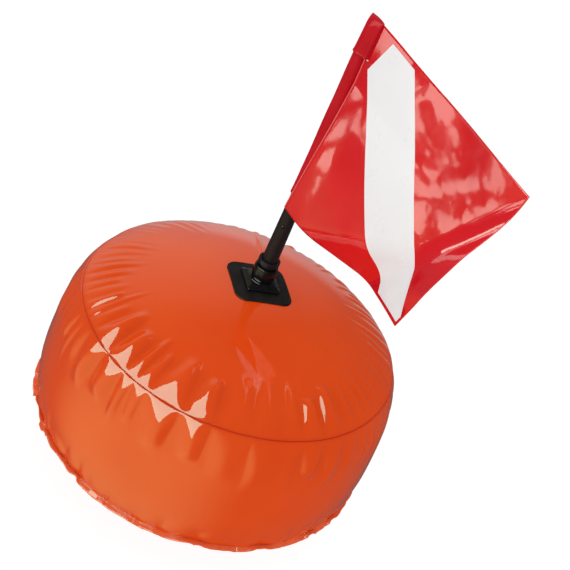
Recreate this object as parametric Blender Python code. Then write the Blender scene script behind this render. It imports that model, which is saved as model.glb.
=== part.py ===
"""Dive flag float: an inflated round float with a short mast and a diver-down flag.

Metres, +Z up. The origin is the centre of the flat on which the float rests, and +Z runs up the mast.
The front of the float is -Y. The inflation valve and the tow ring are at the back.
"""
import math

import bmesh
import bpy
from mathutils import Vector

# Clearances that every fit shares
GAP = 0.0003
RUNNING_GAP = 0.0004
CUT_OVERRUN = 0.004
WELD_DISTANCE = GAP / 100
MITRE_LIMIT_SHARE = 0.3
SHARP_ANGLE = math.radians(35)

# Float film and its three panels
FILM = 0.0006
LOWER_SEAM_RADIUS = 0.1917
SEAM_INSET = 0.0117
BAND_HEIGHT = 0.1476
BAND_BULGE = 0.0104
CROWN_RISE = 0.0543
BASE_RISE = 0.050
REST_RADIUS = 0.050
INNER_WELD_WIDTH = 0.005
OUTER_WELD_WIDTH = 0.0065
INNER_WELD_SLOPE = math.radians(38)
CROWN_POWER = 2.3
BAND_POWER = 2.6
BASE_POWER = 2.0
FLOAT_SEGMENTS = 48
CROWN_RINGS = 8
BAND_RINGS = 8
BASE_RINGS = 8

# Mast patch on the crown
PATCH_SIDE = 0.0655
PATCH_CORNER = 0.013
PATCH_THICKNESS = 0.0015
PATCH_TURN = math.radians(27.8)
PATCH_RING_SHARES = (0.0, 0.45, 1.0)

# Moulded mast base: plate, chamfer, disc, threaded stub and the blind cup inside the float
PLATE_SIDE = 0.038
PLATE_CORNER = 0.0025
PLATE_THICKNESS = 0.002
CHAMFER_HEIGHT = 0.003
CHAMFER_INSET = 0.0045
DISC_RADIUS = 0.0138
DISC_THICKNESS = 0.0012
STUB_RADIUS = 0.0106
THREAD_DEPTH = 0.0008
THREAD_PITCH = 0.0015
THREAD_TURNS = 5
STUB_HEIGHT = 0.0095
BORE_RADIUS = 0.0089
CUP_RADIUS = 0.0110
CUP_DEPTH = 0.030
CUP_FLOOR = 0.0020
SOCKET_SEGMENTS = 32

# Mast plug, its seal, and the nut that holds it down
SEAL_THICKNESS = 0.0012
PLUG_CLEARANCE = 0.0003
SHOULDER_RADIUS = 0.0106
SHOULDER_THICKNESS = 0.0018
NECK_RADIUS = 0.0087
WASHER_RADIUS = 0.0110
WASHER_THICKNESS = 0.0008
NUT_WALL = 0.0013
NUT_LIP = 0.0020
NUT_GROOVE_DEPTH = 0.0006
NUT_GROOVE_WIDTH = 0.0012
NUT_TURNS = 2
THREADS_SHOWN = 0.0030
SPIGOT_WALL = 0.0014
SPIGOT_LENGTH = 0.068

# Mast
MAST_BASE_RADIUS = 0.0087
MAST_TIP_RADIUS = 0.0053
MAST_WALL = 0.0015
MAST_SEGMENTS = 24
COLLAR_WALL = 0.0029
COLLAR_HEIGHT = 0.0056
COLLAR_EDGE = 0.0008

# Snap button through the side of the mast
BUTTON_HEIGHT = 0.052
BUTTON_TURN = math.radians(-100)
BUTTON_RADIUS = 0.0017
BUTTON_PROUD = 0.0008
BUTTON_CLEARANCE = 0.0003
BUTTON_FLANGE_RADIUS = 0.0026
BUTTON_FLANGE_THICKNESS = 0.0008
BUTTON_SEGMENTS = 12
LEAF_THICKNESS = 0.0005
LEAF_WIDTH = 0.0036
LEAF_ABOVE = 0.0030
LEAF_STRAIGHT = 0.012
LEAF_LENGTH = 0.024

# Swivelling tip cap
CAP_RADIUS = 0.0056
CAP_HEIGHT = 0.0025
CAP_EDGE = 0.0010
SHANK_LENGTH = 0.012

# Flag sheet, laid out flat: along is measured from the mast's axis, height from the lower edge.
# The sheet hangs swung down from its top corner, in its own plane.
FLAG_FILM = 0.0005
FLAG_TOP_ABOVE_CROWN = 0.3222
FLAG_HEIGHT = 0.2201
FLAG_FLY = 0.2565
FLAG_DIRECTION = math.radians(-47.4)
FLAG_SWING = math.radians(3.4)
FLAG_COLUMNS = 20
FLAG_ROWS = 18
RIDGE_WRAP = math.radians(94)
RIDGE_STRAIGHT_HEIGHT = 0.155
WELD_BEAD_RADIUS = 0.0008
WELD_BEAD_STEPS = 24
WELD_BEAD_ROUND_STEPS = 1

# The two folds that bend the hanging sheet: one away from the front, then a crisper one back to it
BACK_FOLD_TURN = math.radians(-56)
BACK_FOLD_OFFSET = 0.0168
BACK_FOLD_RADIUS = 0.0363
BACK_FOLD_ANGLE = math.radians(-35.6)
FRONT_FOLD_TURN = math.radians(-31.1)
FRONT_FOLD_OFFSET = 0.103
FRONT_FOLD_RADIUS = 0.030
FRONT_FOLD_ANGLE = math.radians(48)

# White diagonal bar printed through the sheet, with a red border left round it
BAR_HALF_WIDTH = 0.0335
BAR_TURN = math.radians(-48.5)
BAR_START_HEIGHT = 0.250
BAR_BORDER = 0.0055

# Flag sleeve and the closed pocket over the mast's tip
SLEEVE_START_HEIGHT = 0.017
SLEEVE_CLEARANCE = 0.0005
SLEEVE_TOP_CLEARANCE = 0.0009
POCKET_HEIGHT = 0.038
POCKET_OVERLAP = 0.006
POCKET_ROOF = 0.010
POCKET_MOUTH_RADIUS = 0.0084
POCKET_MOUTH_REACH = 0.0125
POCKET_ROOF_RADIUS = 0.0073
POCKET_ROOF_REACH = 0.0130
POCKET_PINCH_BACK = 0.0080
POCKET_PINCH_REACH = 0.0133
POCKET_PINCH_DEPTH = 0.0013
POCKET_RAMP = 0.007
POCKET_SEGMENTS = 24

# Inflation valve on the back of the band
VALVE_TURN = math.radians(127.5)
VALVE_HEIGHT_SHARE = 0.5
VALVE_FLANGE_RADIUS = 0.0135
VALVE_FLANGE_THICKNESS = 0.0010
VALVE_STEM_RADIUS = 0.0055
VALVE_BORE_RADIUS = 0.0031
VALVE_STEM_LENGTH = 0.014
VALVE_TAIL_LENGTH = 0.0030
VALVE_SEGMENTS = 20
PLUG_PIN_RADIUS = 0.0028
PLUG_PIN_LENGTH = 0.009
PLUG_HEAD_RADIUS = 0.0068
PLUG_HEAD_THICKNESS = 0.0020
PLUG_HEAD_EDGE = 0.0006
TETHER_WALL = 0.0016
TETHER_THICKNESS = 0.0014
TETHER_SEAT = 0.0010
TETHER_STRAP_WIDTH = 0.0036
FLAP_RADIUS = 0.0050
FLAP_THICKNESS = 0.0005
FLAP_SEGMENTS = 16

# Tow ring and the strap tab welded into the lower seam
TOW_TURN = math.radians(90)
TAB_THICKNESS = 0.0010
TAB_WIDTH = 0.020
TAB_GRIP = 0.0035
RING_WIRE = 0.0020
RING_HALF_WIDTH = 0.0130
RING_DROP = 0.0085
RING_CORNER = 0.0035
RING_CLEARANCE = 0.0005
TAB_ARC_STEPS = 12
RING_ARC_STEPS = 14
RING_CORNER_STEPS = 3
RING_ROUND_STEPS = 2

# Heights and radii that follow from the sizes above
UPPER_SEAM_RADIUS = LOWER_SEAM_RADIUS - SEAM_INSET
UPPER_WELD_Z = BASE_RISE + BAND_HEIGHT
CROWN_Z = UPPER_WELD_Z + CROWN_RISE
PATCH_Z = CROWN_Z + FILM / 2 + GAP
PLATE_Z = PATCH_Z + PATCH_THICKNESS + GAP
STUB_Z = PLATE_Z + PLATE_THICKNESS + CHAMFER_HEIGHT + DISC_THICKNESS
STUB_TOP_Z = STUB_Z + STUB_HEIGHT
SEAL_Z = STUB_TOP_Z + GAP
SHOULDER_Z = SEAL_Z + SEAL_THICKNESS + GAP
WASHER_Z = SHOULDER_Z + SHOULDER_THICKNESS + GAP
NUT_LIP_Z = WASHER_Z + WASHER_THICKNESS + GAP
NUT_TOP_Z = NUT_LIP_Z + NUT_LIP
NUT_BOTTOM_Z = STUB_Z + THREADS_SHOWN
NUT_BORE_RADIUS = STUB_RADIUS + THREAD_DEPTH + RUNNING_GAP
NUT_RADIUS = NUT_BORE_RADIUS + NUT_WALL
NUT_TRAVEL = THREAD_PITCH * NUT_TURNS
MAST_Z = NUT_TOP_Z + NUT_TRAVEL + GAP
FLAG_TOP_Z = CROWN_Z + FLAG_TOP_ABOVE_CROWN
FLAG_Z = FLAG_TOP_Z - FLAG_HEIGHT
CAP_Z = FLAG_TOP_Z - POCKET_ROOF - CAP_HEIGHT
MAST_TOP_Z = CAP_Z - GAP
BUTTON_Z = MAST_Z + BUTTON_HEIGHT
SLEEVE_Z = FLAG_Z + SLEEVE_START_HEIGHT
POCKET_Z = FLAG_TOP_Z - POCKET_HEIGHT
WELD_STEP = (FILM + GAP) / 2


def clear_scene():
    """Remove whatever the file already holds."""
    for item in list(bpy.data.objects):
        bpy.data.objects.remove(item, do_unlink=True)


def make_material(name, colour, roughness, metallic=0.0):
    """One Principled material of plain colour."""
    material = bpy.data.materials.new(name)
    material.use_nodes = True
    shader = material.node_tree.nodes["Principled BSDF"]
    shader.inputs["Base Color"].default_value = (*colour, 1.0)
    shader.inputs["Roughness"].default_value = roughness
    shader.inputs["Metallic"].default_value = metallic
    material.diffuse_color = (*colour, 1.0)
    return material


def add_object(name, data, materials, location=(0, 0, 0), parent=None):
    """Put one named object into the scene."""
    item = bpy.data.objects.new(name, data)
    bpy.context.scene.collection.objects.link(item)
    for material in materials:
        data.materials.append(material)
    item.location = location
    item.parent = parent
    return item


def finish_mesh(name, mesh, materials, location=(0, 0, 0), parent=None, sharp=SHARP_ANGLE):
    """Turn a bmesh into a smooth-shaded object whose faces point out."""
    bmesh.ops.recalc_face_normals(mesh, faces=mesh.faces)
    data = bpy.data.meshes.new(name)
    mesh.to_mesh(data)
    mesh.free()
    data.shade_smooth()
    data.set_sharp_from_angle(angle=sharp)
    return add_object(name, data, materials, location, parent)


def add_axis(name, location, axis):
    """An empty whose local Z points along the axis, to carry the pieces that lie on it."""
    empty = bpy.data.objects.new(name, None)
    bpy.context.scene.collection.objects.link(empty)
    empty.location = location
    empty.rotation_euler = Vector(axis).to_track_quat("Z", "Y").to_euler()
    return empty


def lathe(name, profile, segments, materials, location=(0, 0, 0), parent=None, closed=True):
    """Turn a profile of (radius, height) points about Z. An open one starts and ends on the axis."""
    mesh = bmesh.new()
    points = [mesh.verts.new((radius, 0, height)) for radius, height in profile]
    edges = [mesh.edges.new(pair) for pair in zip(points, points[1:])]
    if closed:
        edges.append(mesh.edges.new((points[-1], points[0])))
    bmesh.ops.spin(mesh, geom=points + edges, cent=(0, 0, 0), axis=(0, 0, 1), angle=math.tau,
                   steps=segments, use_merge=True, use_duplicate=False)
    bmesh.ops.remove_doubles(mesh, verts=mesh.verts, dist=WELD_DISTANCE)
    return finish_mesh(name, mesh, materials, location, parent)


def loft(name, rings, materials, location=(0, 0, 0), parent=None, closed=False):
    """Skin rings that hold equal numbers of points. An open loft is capped at both ends."""
    mesh = bmesh.new()
    loops = [[mesh.verts.new(point) for point in ring] for ring in rings]
    pairs = list(zip(loops, loops[1:]))
    if closed:
        pairs.append((loops[-1], loops[0]))
    for lower, upper in pairs:
        for index in range(len(lower)):
            after = (index + 1) % len(lower)
            mesh.faces.new((lower[index], lower[after], upper[after], upper[index]))
    if not closed:
        mesh.faces.new(list(reversed(loops[0])))
        mesh.faces.new(loops[-1])
    return finish_mesh(name, mesh, materials, location, parent)


def ribbon(name, path, thickness, width, materials, location=(0, 0, 0), parent=None):
    """Thicken a path of (y, z) points and extrude it along X, centred on the path's plane."""
    outline = film_outline(path, thickness)
    mesh = bmesh.new()
    near = [mesh.verts.new((-width / 2, y, z)) for y, z in outline]
    far = [mesh.verts.new((width / 2, y, z)) for y, z in outline]
    half = len(outline) // 2
    for index in range(len(outline)):
        after = (index + 1) % len(outline)
        mesh.faces.new((near[index], near[after], far[after], far[index]))
    for side in (near, far):
        for index in range(half - 1):
            mesh.faces.new((side[index], side[index + 1], side[-2 - index], side[-1 - index]))
    return finish_mesh(name, mesh, materials, location, parent)


def film_outline(path, thickness):
    """Closed outline of a film whose mid-surface follows the path."""
    return offset_path(path, thickness / 2) + list(reversed(offset_path(path, -thickness / 2)))


def offset_path(path, distance):
    """Points beside a path at an even distance from it, mitred at its corners."""
    points = [Vector(point) for point in path]
    headings = [(after - before).normalized() for before, after in zip(points, points[1:])]
    moved = []
    for index, point in enumerate(points):
        incoming = headings[max(index - 1, 0)]
        outgoing = headings[min(index, len(headings) - 1)]
        middle = (incoming + outgoing).normalized()
        normal = Vector((-middle.y, middle.x))
        moved.append(point + normal * distance / max(middle.dot(outgoing), MITRE_LIMIT_SHARE))
    return [(point.x, point.y) for point in moved]


def spaced(count):
    """Shares from 0 to 1 in even steps."""
    return [index / count for index in range(count + 1)]


def circle(radius, height, segments, turn=0.0):
    """A level ring of points."""
    angles = [turn + math.tau * index / segments for index in range(segments)]
    return [Vector((radius * math.cos(a), radius * math.sin(a), height)) for a in angles]


def square_reach(angle, half, corner):
    """Distance from the centre to the edge of a rounded square, along an angle."""
    across = max(abs(math.cos(angle)), abs(math.sin(angle)))
    along = min(abs(math.cos(angle)), abs(math.sin(angle)))
    straight = half / across
    if straight * along <= half - corner:
        return straight
    centre = half - corner
    lean = centre * (across + along)
    return lean + math.sqrt(max(lean * lean - 2 * centre * centre + corner * corner, 0.0))


def square_ring(side, corner, height, segments, turn):
    """A level rounded square, with a point in the middle of each corner."""
    ring = []
    for index in range(segments):
        angle = math.tau * index / segments
        reach = square_reach(angle, side / 2, corner)
        ring.append(Vector((reach * math.cos(angle + turn), reach * math.sin(angle + turn), height)))
    return ring


def crown_height(radius):
    """Mid-surface height of the top panel."""
    return CROWN_Z - CROWN_RISE * (radius / UPPER_SEAM_RADIUS) ** CROWN_POWER


def band_radius(share):
    """Mid-surface radius of the side band, from its lower seam (0) to its upper seam (1)."""
    straight = LOWER_SEAM_RADIUS + (UPPER_SEAM_RADIUS - LOWER_SEAM_RADIUS) * share
    return straight + BAND_BULGE * (1 - abs(2 * share - 1) ** BAND_POWER)


def band_lean(share):
    """How far the band's outward side tips up from level, as an angle."""
    lift = math.copysign(abs(2 * share - 1) ** (BAND_POWER - 1), 2 * share - 1)
    run = UPPER_SEAM_RADIUS - LOWER_SEAM_RADIUS - 2 * BAND_BULGE * BAND_POWER * lift
    return math.atan2(-run, BAND_HEIGHT)


def build_float(materials):
    """The three film panels: the top is welded inside the rim, the bottom by an outward fin."""
    away = Vector((math.sin(INNER_WELD_SLOPE), -math.cos(INNER_WELD_SLOPE)))
    inward = Vector((-math.cos(INNER_WELD_SLOPE), -math.sin(INNER_WELD_SLOPE)))
    crease = Vector((UPPER_SEAM_RADIUS, UPPER_WELD_Z))
    top_crease = crease - away * WELD_STEP
    band_crease = crease + away * WELD_STEP

    hole = CUP_RADIUS + GAP
    radii = [hole + (UPPER_SEAM_RADIUS - hole) * share for share in spaced(CROWN_RINGS)]
    top = [Vector((radius, crown_height(radius))) for radius in radii[:-1]]
    top += [top_crease, top_crease + inward * INNER_WELD_WIDTH]
    lathe("top_panel", film_outline(top, FILM), FLOAT_SEGMENTS, materials)

    band = [band_crease + inward * INNER_WELD_WIDTH, band_crease]
    for share in reversed(spaced(BAND_RINGS)[1:-1]):
        band.append(Vector((band_radius(share), BASE_RISE + BAND_HEIGHT * share)))
    band.append(Vector((LOWER_SEAM_RADIUS, BASE_RISE + WELD_STEP)))
    band.append(Vector((LOWER_SEAM_RADIUS + OUTER_WELD_WIDTH, BASE_RISE + WELD_STEP)))
    side_band = lathe("side_band", film_outline(band, FILM), FLOAT_SEGMENTS, materials)

    base = [Vector((0, FILM / 2))]
    rise = BASE_RISE - WELD_STEP - FILM / 2
    for share in spaced(BASE_RINGS):
        radius = REST_RADIUS + (LOWER_SEAM_RADIUS - REST_RADIUS) * share
        base.append(Vector((radius, FILM / 2 + rise * share ** BASE_POWER)))
    base.append(Vector((LOWER_SEAM_RADIUS + OUTER_WELD_WIDTH, BASE_RISE - WELD_STEP)))
    upper = offset_path(base, FILM / 2)
    lower = offset_path(base, -FILM / 2)
    upper[0] = (0, upper[0][1])
    lower[0] = (0, lower[0][1])
    lathe("bottom_panel", upper + list(reversed(lower)), FLOAT_SEGMENTS, materials, closed=False)
    return side_band


def build_patch(materials):
    """Square patch that follows the crown, with a hole for the base's cup."""
    under = []
    for share in PATCH_RING_SHARES:
        ring = []
        for index in range(SOCKET_SEGMENTS):
            angle = math.tau * index / SOCKET_SEGMENTS
            reach = square_reach(angle, PATCH_SIDE / 2, PATCH_CORNER)
            radius = CUP_RADIUS + GAP + (reach - CUP_RADIUS - GAP) * share
            height = crown_height(radius) + FILM / 2 + GAP
            place = (radius * math.cos(angle + PATCH_TURN), radius * math.sin(angle + PATCH_TURN), height)
            ring.append(Vector(place))
        under.append(ring)
    lift = Vector((0, 0, PATCH_THICKNESS))
    over = [[point + lift for point in ring] for ring in reversed(under)]
    loft("mast_patch", under + over, materials, closed=True)


def build_base(materials):
    """Plate, chamfer, disc and threaded stub above the patch, and the blind cup below it."""
    def level(radius, height):
        return circle(radius, height - PLATE_Z, SOCKET_SEGMENTS, PATCH_TURN)

    def square(side, height):
        return square_ring(side, PLATE_CORNER, height - PLATE_Z, SOCKET_SEGMENTS, PATCH_TURN)

    cup_bottom = PLATE_Z - CUP_DEPTH - CUP_FLOOR
    plate_top = PLATE_Z + PLATE_THICKNESS
    chamfer_top = plate_top + CHAMFER_HEIGHT
    rings = [level(CUP_RADIUS, cup_bottom), level(CUP_RADIUS, PLATE_Z)]
    rings += [square(PLATE_SIDE, PLATE_Z), square(PLATE_SIDE, plate_top)]
    rings += [square(PLATE_SIDE - 2 * CHAMFER_INSET, chamfer_top)]
    rings += [level(DISC_RADIUS, chamfer_top), level(DISC_RADIUS, STUB_Z), level(STUB_RADIUS, STUB_Z)]
    for turn in range(THREAD_TURNS):
        foot = STUB_Z + THREAD_PITCH * turn + THREAD_PITCH / 2
        rings.append(level(STUB_RADIUS, foot))
        rings.append(level(STUB_RADIUS + THREAD_DEPTH, foot + THREAD_PITCH / 2))
    rings.append(level(STUB_RADIUS, STUB_Z + THREAD_PITCH * (THREAD_TURNS + 1 / 2)))
    rings += [level(STUB_RADIUS, STUB_TOP_Z), level(BORE_RADIUS, STUB_TOP_Z)]
    rings.append(level(BORE_RADIUS, PLATE_Z - CUP_DEPTH))
    loft("mast_base", rings, materials, (0, 0, PLATE_Z))


def mast_radius(height):
    """Outer radius of the tapered mast at a height above the origin."""
    share = (height - MAST_Z) / (MAST_TOP_Z - MAST_Z)
    return MAST_BASE_RADIUS + (MAST_TIP_RADIUS - MAST_BASE_RADIUS) * share


def spigot_radius(height):
    """Outer radius of the plug's spigot, which fits inside the mast."""
    return mast_radius(height) - MAST_WALL - PLUG_CLEARANCE


def build_plug(materials):
    """Plug that stands in the socket, with a shoulder under the nut and a hollow spigot above."""
    spigot_top = MAST_Z + SPIGOT_LENGTH
    plug_bottom = PLATE_Z - CUP_DEPTH + GAP
    plug_radius = BORE_RADIUS - PLUG_CLEARANCE
    hollow_z = MAST_Z + LEAF_ABOVE
    profile = [(0, plug_bottom), (plug_radius, plug_bottom), (plug_radius, SHOULDER_Z)]
    profile += [(SHOULDER_RADIUS, SHOULDER_Z), (SHOULDER_RADIUS, SHOULDER_Z + SHOULDER_THICKNESS)]
    profile += [(NECK_RADIUS, SHOULDER_Z + SHOULDER_THICKNESS), (NECK_RADIUS, MAST_Z - GAP)]
    profile += [(spigot_radius(MAST_Z), MAST_Z - GAP), (spigot_radius(spigot_top), spigot_top)]
    profile += [(spigot_radius(spigot_top) - SPIGOT_WALL, spigot_top)]
    profile += [(spigot_radius(hollow_z) - SPIGOT_WALL, hollow_z), (0, hollow_z)]
    local = [(radius, height - SHOULDER_Z) for radius, height in profile]
    return lathe("mast_plug", local, MAST_SEGMENTS, materials, (0, 0, SHOULDER_Z), closed=False)


def build_nut(nut_materials, washer_materials, seal_materials):
    """Sealing ring on the stub, washer on the shoulder, and the nut whose lip presses on both."""
    seal_inner = BORE_RADIUS
    seal = [(seal_inner, 0), (STUB_RADIUS, 0), (STUB_RADIUS, SEAL_THICKNESS), (seal_inner, SEAL_THICKNESS)]
    lathe("socket_seal", seal, MAST_SEGMENTS, seal_materials, (0, 0, SEAL_Z))

    inner = NECK_RADIUS + RUNNING_GAP
    washer = [(inner, 0), (WASHER_RADIUS, 0), (WASHER_RADIUS, WASHER_THICKNESS), (inner, WASHER_THICKNESS)]
    lathe("slip_washer", washer, MAST_SEGMENTS, washer_materials, (0, 0, WASHER_Z))

    groove_top = NUT_LIP_Z - NUT_BOTTOM_Z
    groove_bottom = groove_top - NUT_GROOVE_WIDTH
    height = NUT_TOP_Z - NUT_BOTTOM_Z
    nut = [(NUT_BORE_RADIUS, 0), (NUT_RADIUS, 0), (NUT_RADIUS, groove_bottom)]
    nut += [(NUT_RADIUS - NUT_GROOVE_DEPTH, groove_bottom), (NUT_RADIUS - NUT_GROOVE_DEPTH, groove_top)]
    nut += [(NUT_RADIUS, groove_top), (NUT_RADIUS - NUT_GROOVE_DEPTH, height), (inner, height)]
    nut += [(inner, groove_top), (NUT_BORE_RADIUS, groove_top)]
    lathe("socket_nut", nut, SOCKET_SEGMENTS, nut_materials, (0, 0, NUT_BOTTOM_Z))


def build_mast(materials):
    """Tapered tube, and the collar that covers its joint with the plug."""
    length = MAST_TOP_Z - MAST_Z
    tube = [(MAST_BASE_RADIUS - MAST_WALL, 0), (MAST_BASE_RADIUS, 0)]
    tube += [(MAST_TIP_RADIUS, length), (MAST_TIP_RADIUS - MAST_WALL, length)]
    mast = lathe("mast", tube, MAST_SEGMENTS, materials, (0, 0, MAST_Z))

    inner = MAST_BASE_RADIUS + GAP
    outer = inner + COLLAR_WALL
    collar = [(inner, 0), (outer - COLLAR_EDGE, 0), (outer, COLLAR_EDGE)]
    collar += [(outer, COLLAR_HEIGHT - COLLAR_EDGE), (outer - COLLAR_EDGE, COLLAR_HEIGHT)]
    collar.append((inner, COLLAR_HEIGHT))
    lathe("mast_collar", collar, SOCKET_SEGMENTS, materials, (0, 0, MAST_Z))
    return mast


def build_button(mast, plug, button_materials, spring_materials):
    """Snap button through mast and spigot, on a leaf spring, and the hole that it stands in."""
    heading = Vector((math.cos(BUTTON_TURN), math.sin(BUTTON_TURN), 0))
    axis = add_axis("button_axis", (0, 0, BUTTON_Z), heading)
    bore = spigot_radius(BUTTON_Z) - SPIGOT_WALL
    flange_top = math.sqrt(bore ** 2 - BUTTON_FLANGE_RADIUS ** 2) - GAP
    flange_bottom = flange_top - BUTTON_FLANGE_THICKNESS
    tip = mast_radius(BUTTON_Z) + BUTTON_PROUD
    button = [(0, flange_bottom), (BUTTON_FLANGE_RADIUS, flange_bottom)]
    button += [(BUTTON_FLANGE_RADIUS, flange_top), (BUTTON_RADIUS, flange_top), (BUTTON_RADIUS, tip - BUTTON_PROUD), (0, tip)]
    lathe("snap_button", button, BUTTON_SEGMENTS, button_materials, parent=axis, closed=False)

    hole = [(0, flange_bottom), (BUTTON_RADIUS + BUTTON_CLEARANCE, flange_bottom)]
    hole += [(BUTTON_RADIUS + BUTTON_CLEARANCE, tip + CUT_OVERRUN), (0, tip + CUT_OVERRUN)]
    cutter = lathe("cutter_button_hole", hole, BUTTON_SEGMENTS, [], parent=axis, closed=False)
    hide_cutter(cutter)
    cut(mast, cutter)
    cut(plug, cutter)

    near = flange_bottom - GAP - LEAF_THICKNESS / 2
    reach = math.sqrt(bore ** 2 - (LEAF_WIDTH / 2) ** 2) - GAP - LEAF_THICKNESS
    leaf = [(near, LEAF_ABOVE), (near, -LEAF_STRAIGHT), (reach, -LEAF_LENGTH)]
    spring = ribbon("button_spring", leaf, LEAF_THICKNESS, LEAF_WIDTH, spring_materials, (0, 0, BUTTON_Z))
    spring.rotation_euler = (0, 0, BUTTON_TURN - math.pi / 2)


def hide_cutter(cutter):
    """A cutter is a guide and not a piece."""
    cutter.hide_render = True
    cutter.display_type = "WIRE"


def cut(item, cutter):
    """Subtract the cutter, exactly."""
    modifier = item.modifiers.new("cut_" + cutter.name, "BOOLEAN")
    modifier.operation = "DIFFERENCE"
    modifier.solver = "EXACT"
    modifier.object = cutter


def build_cap(materials):
    """Swivelling cap on the mast's tip: the flag's pocket sits on it."""
    shank = MAST_TIP_RADIUS - MAST_WALL - RUNNING_GAP
    cap = [(0, -GAP - SHANK_LENGTH), (shank, -GAP - SHANK_LENGTH), (shank, 0), (CAP_RADIUS, 0)]
    cap += [(CAP_RADIUS, CAP_HEIGHT - CAP_EDGE), (CAP_RADIUS - CAP_EDGE, CAP_HEIGHT), (0, CAP_HEIGHT)]
    lathe("tip_cap", cap, MAST_SEGMENTS, materials, (0, 0, CAP_Z), closed=False)


def sleeve_inner(height):
    """Inner radius of the flag's sleeve at a height above the flag's lower edge."""
    return mast_radius(FLAG_Z + height) + SLEEVE_CLEARANCE + SLEEVE_TOP_CLEARANCE * height / FLAG_HEIGHT


def ridge_angle(height):
    """How far round the sleeve the hoist weld has wandered from the sheet's own direction."""
    return RIDGE_WRAP * max(0.0, 1 - height / RIDGE_STRAIGHT_HEIGHT)


def ridge_place(height):
    """Centre of the weld bead: distance along the sheet's direction, and to its front."""
    reach = sleeve_inner(height) + FLAG_FILM + GAP + WELD_BEAD_RADIUS
    angle = ridge_angle(height)
    return reach * math.cos(angle), reach * math.sin(angle)


def pocket_edge():
    """Where the pocket ends on the sheet's side."""
    return max(POCKET_MOUTH_REACH, POCKET_ROOF_REACH, POCKET_PINCH_REACH)


def sheet_start(height):
    """Flat place of the sheet's hoist edge, which stays beside the bead however the sheet swings."""
    along = ridge_place(height)[0] + WELD_BEAD_RADIUS + GAP
    ramp_end = FLAG_HEIGHT - POCKET_HEIGHT - GAP
    share = min(max((height - ramp_end + POCKET_RAMP) / POCKET_RAMP, 0.0), 1.0)
    edge = along + (pocket_edge() + GAP - along) * share
    return (edge + (FLAG_HEIGHT - height) * math.sin(FLAG_SWING)) / math.cos(FLAG_SWING)


def fold(along, height, turn, offset, radius, angle):
    """Shift of a flat point where the sheet bends round a cylinder past a slanted line."""
    past = max(along * math.cos(turn) + height * math.sin(turn) - offset, 0.0)
    bent = min(past / radius, abs(angle))
    rest = past - radius * bent
    shortened = radius * math.sin(bent) + rest * math.cos(bent) - past
    outward = radius * (1 - math.cos(bent)) + rest * math.sin(bent)
    return shortened * math.cos(turn), shortened * math.sin(turn), math.copysign(outward, angle)


def flag_point(along, height):
    """Place of a flat point of the flag, relative to the mast's axis at the flag's lower edge."""
    start = sheet_start(height)
    share = min(max((along - start) / (FLAG_FLY - start), 0.0), 1.0)
    front = ridge_place(height)[1] * (1 - share) ** 2
    back = fold(along, height, BACK_FOLD_TURN, BACK_FOLD_OFFSET, BACK_FOLD_RADIUS, BACK_FOLD_ANGLE)
    wide = fold(along, height, FRONT_FOLD_TURN, FRONT_FOLD_OFFSET, FRONT_FOLD_RADIUS, FRONT_FOLD_ANGLE)
    across = along + back[0] + wide[0]
    below = FLAG_HEIGHT - height - back[1] - wide[1]
    swung = across * math.cos(FLAG_SWING) - below * math.sin(FLAG_SWING)
    drop = below * math.cos(FLAG_SWING) + across * math.sin(FLAG_SWING)
    return flag_frame(swung, front + back[2] + wide[2], FLAG_HEIGHT - drop)


def flag_frame(along, front, height):
    """From the sheet's own directions to X, Y and Z."""
    cosine = math.cos(FLAG_DIRECTION)
    sine = math.sin(FLAG_DIRECTION)
    return Vector((along * cosine + front * sine, along * sine - front * cosine, height))


def in_bar(along, height):
    """Whether a flat point lies in the white bar."""
    across = (height - BAR_START_HEIGHT) * math.cos(BAR_TURN) - along * math.sin(BAR_TURN)
    inside_edges = BAR_BORDER < height < FLAG_HEIGHT - BAR_BORDER
    return abs(across) < BAR_HALF_WIDTH and along < FLAG_FLY - BAR_BORDER and inside_edges


def build_sheet(materials):
    """The folded sheet: laid out flat, cut along the bar's edges, then bent and thickened."""
    mesh = bmesh.new()
    rows = []
    for level in spaced(FLAG_ROWS):
        height = FLAG_HEIGHT * level
        start = sheet_start(height)
        places = [start + (FLAG_FLY - start) * share for share in spaced(FLAG_COLUMNS)]
        rows.append([mesh.verts.new((along, height, 0)) for along in places])
    for lower, upper in zip(rows, rows[1:]):
        for index in range(FLAG_COLUMNS):
            mesh.faces.new((lower[index], lower[index + 1], upper[index + 1], upper[index]))
    normal = Vector((-math.sin(BAR_TURN), math.cos(BAR_TURN), 0))
    centre = Vector((0, BAR_START_HEIGHT, 0))
    for side in (-BAR_HALF_WIDTH, BAR_HALF_WIDTH):
        geometry = mesh.verts[:] + mesh.edges[:] + mesh.faces[:]
        bmesh.ops.bisect_plane(mesh, geom=geometry, plane_co=centre + normal * side, plane_no=normal)
    for face in mesh.faces:
        middle = face.calc_center_median()
        face.material_index = int(in_bar(middle.x, middle.y))
    for vertex in mesh.verts:
        vertex.co = flag_point(vertex.co.x, vertex.co.y)
    bmesh.ops.triangulate(mesh, faces=mesh.faces)
    sheet = finish_mesh("flag_sheet", mesh, materials, (0, 0, FLAG_Z))
    solid = sheet.modifiers.new("film", "SOLIDIFY")
    solid.thickness = FLAG_FILM
    solid.offset = 0
    solid.use_even_offset = True


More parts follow.
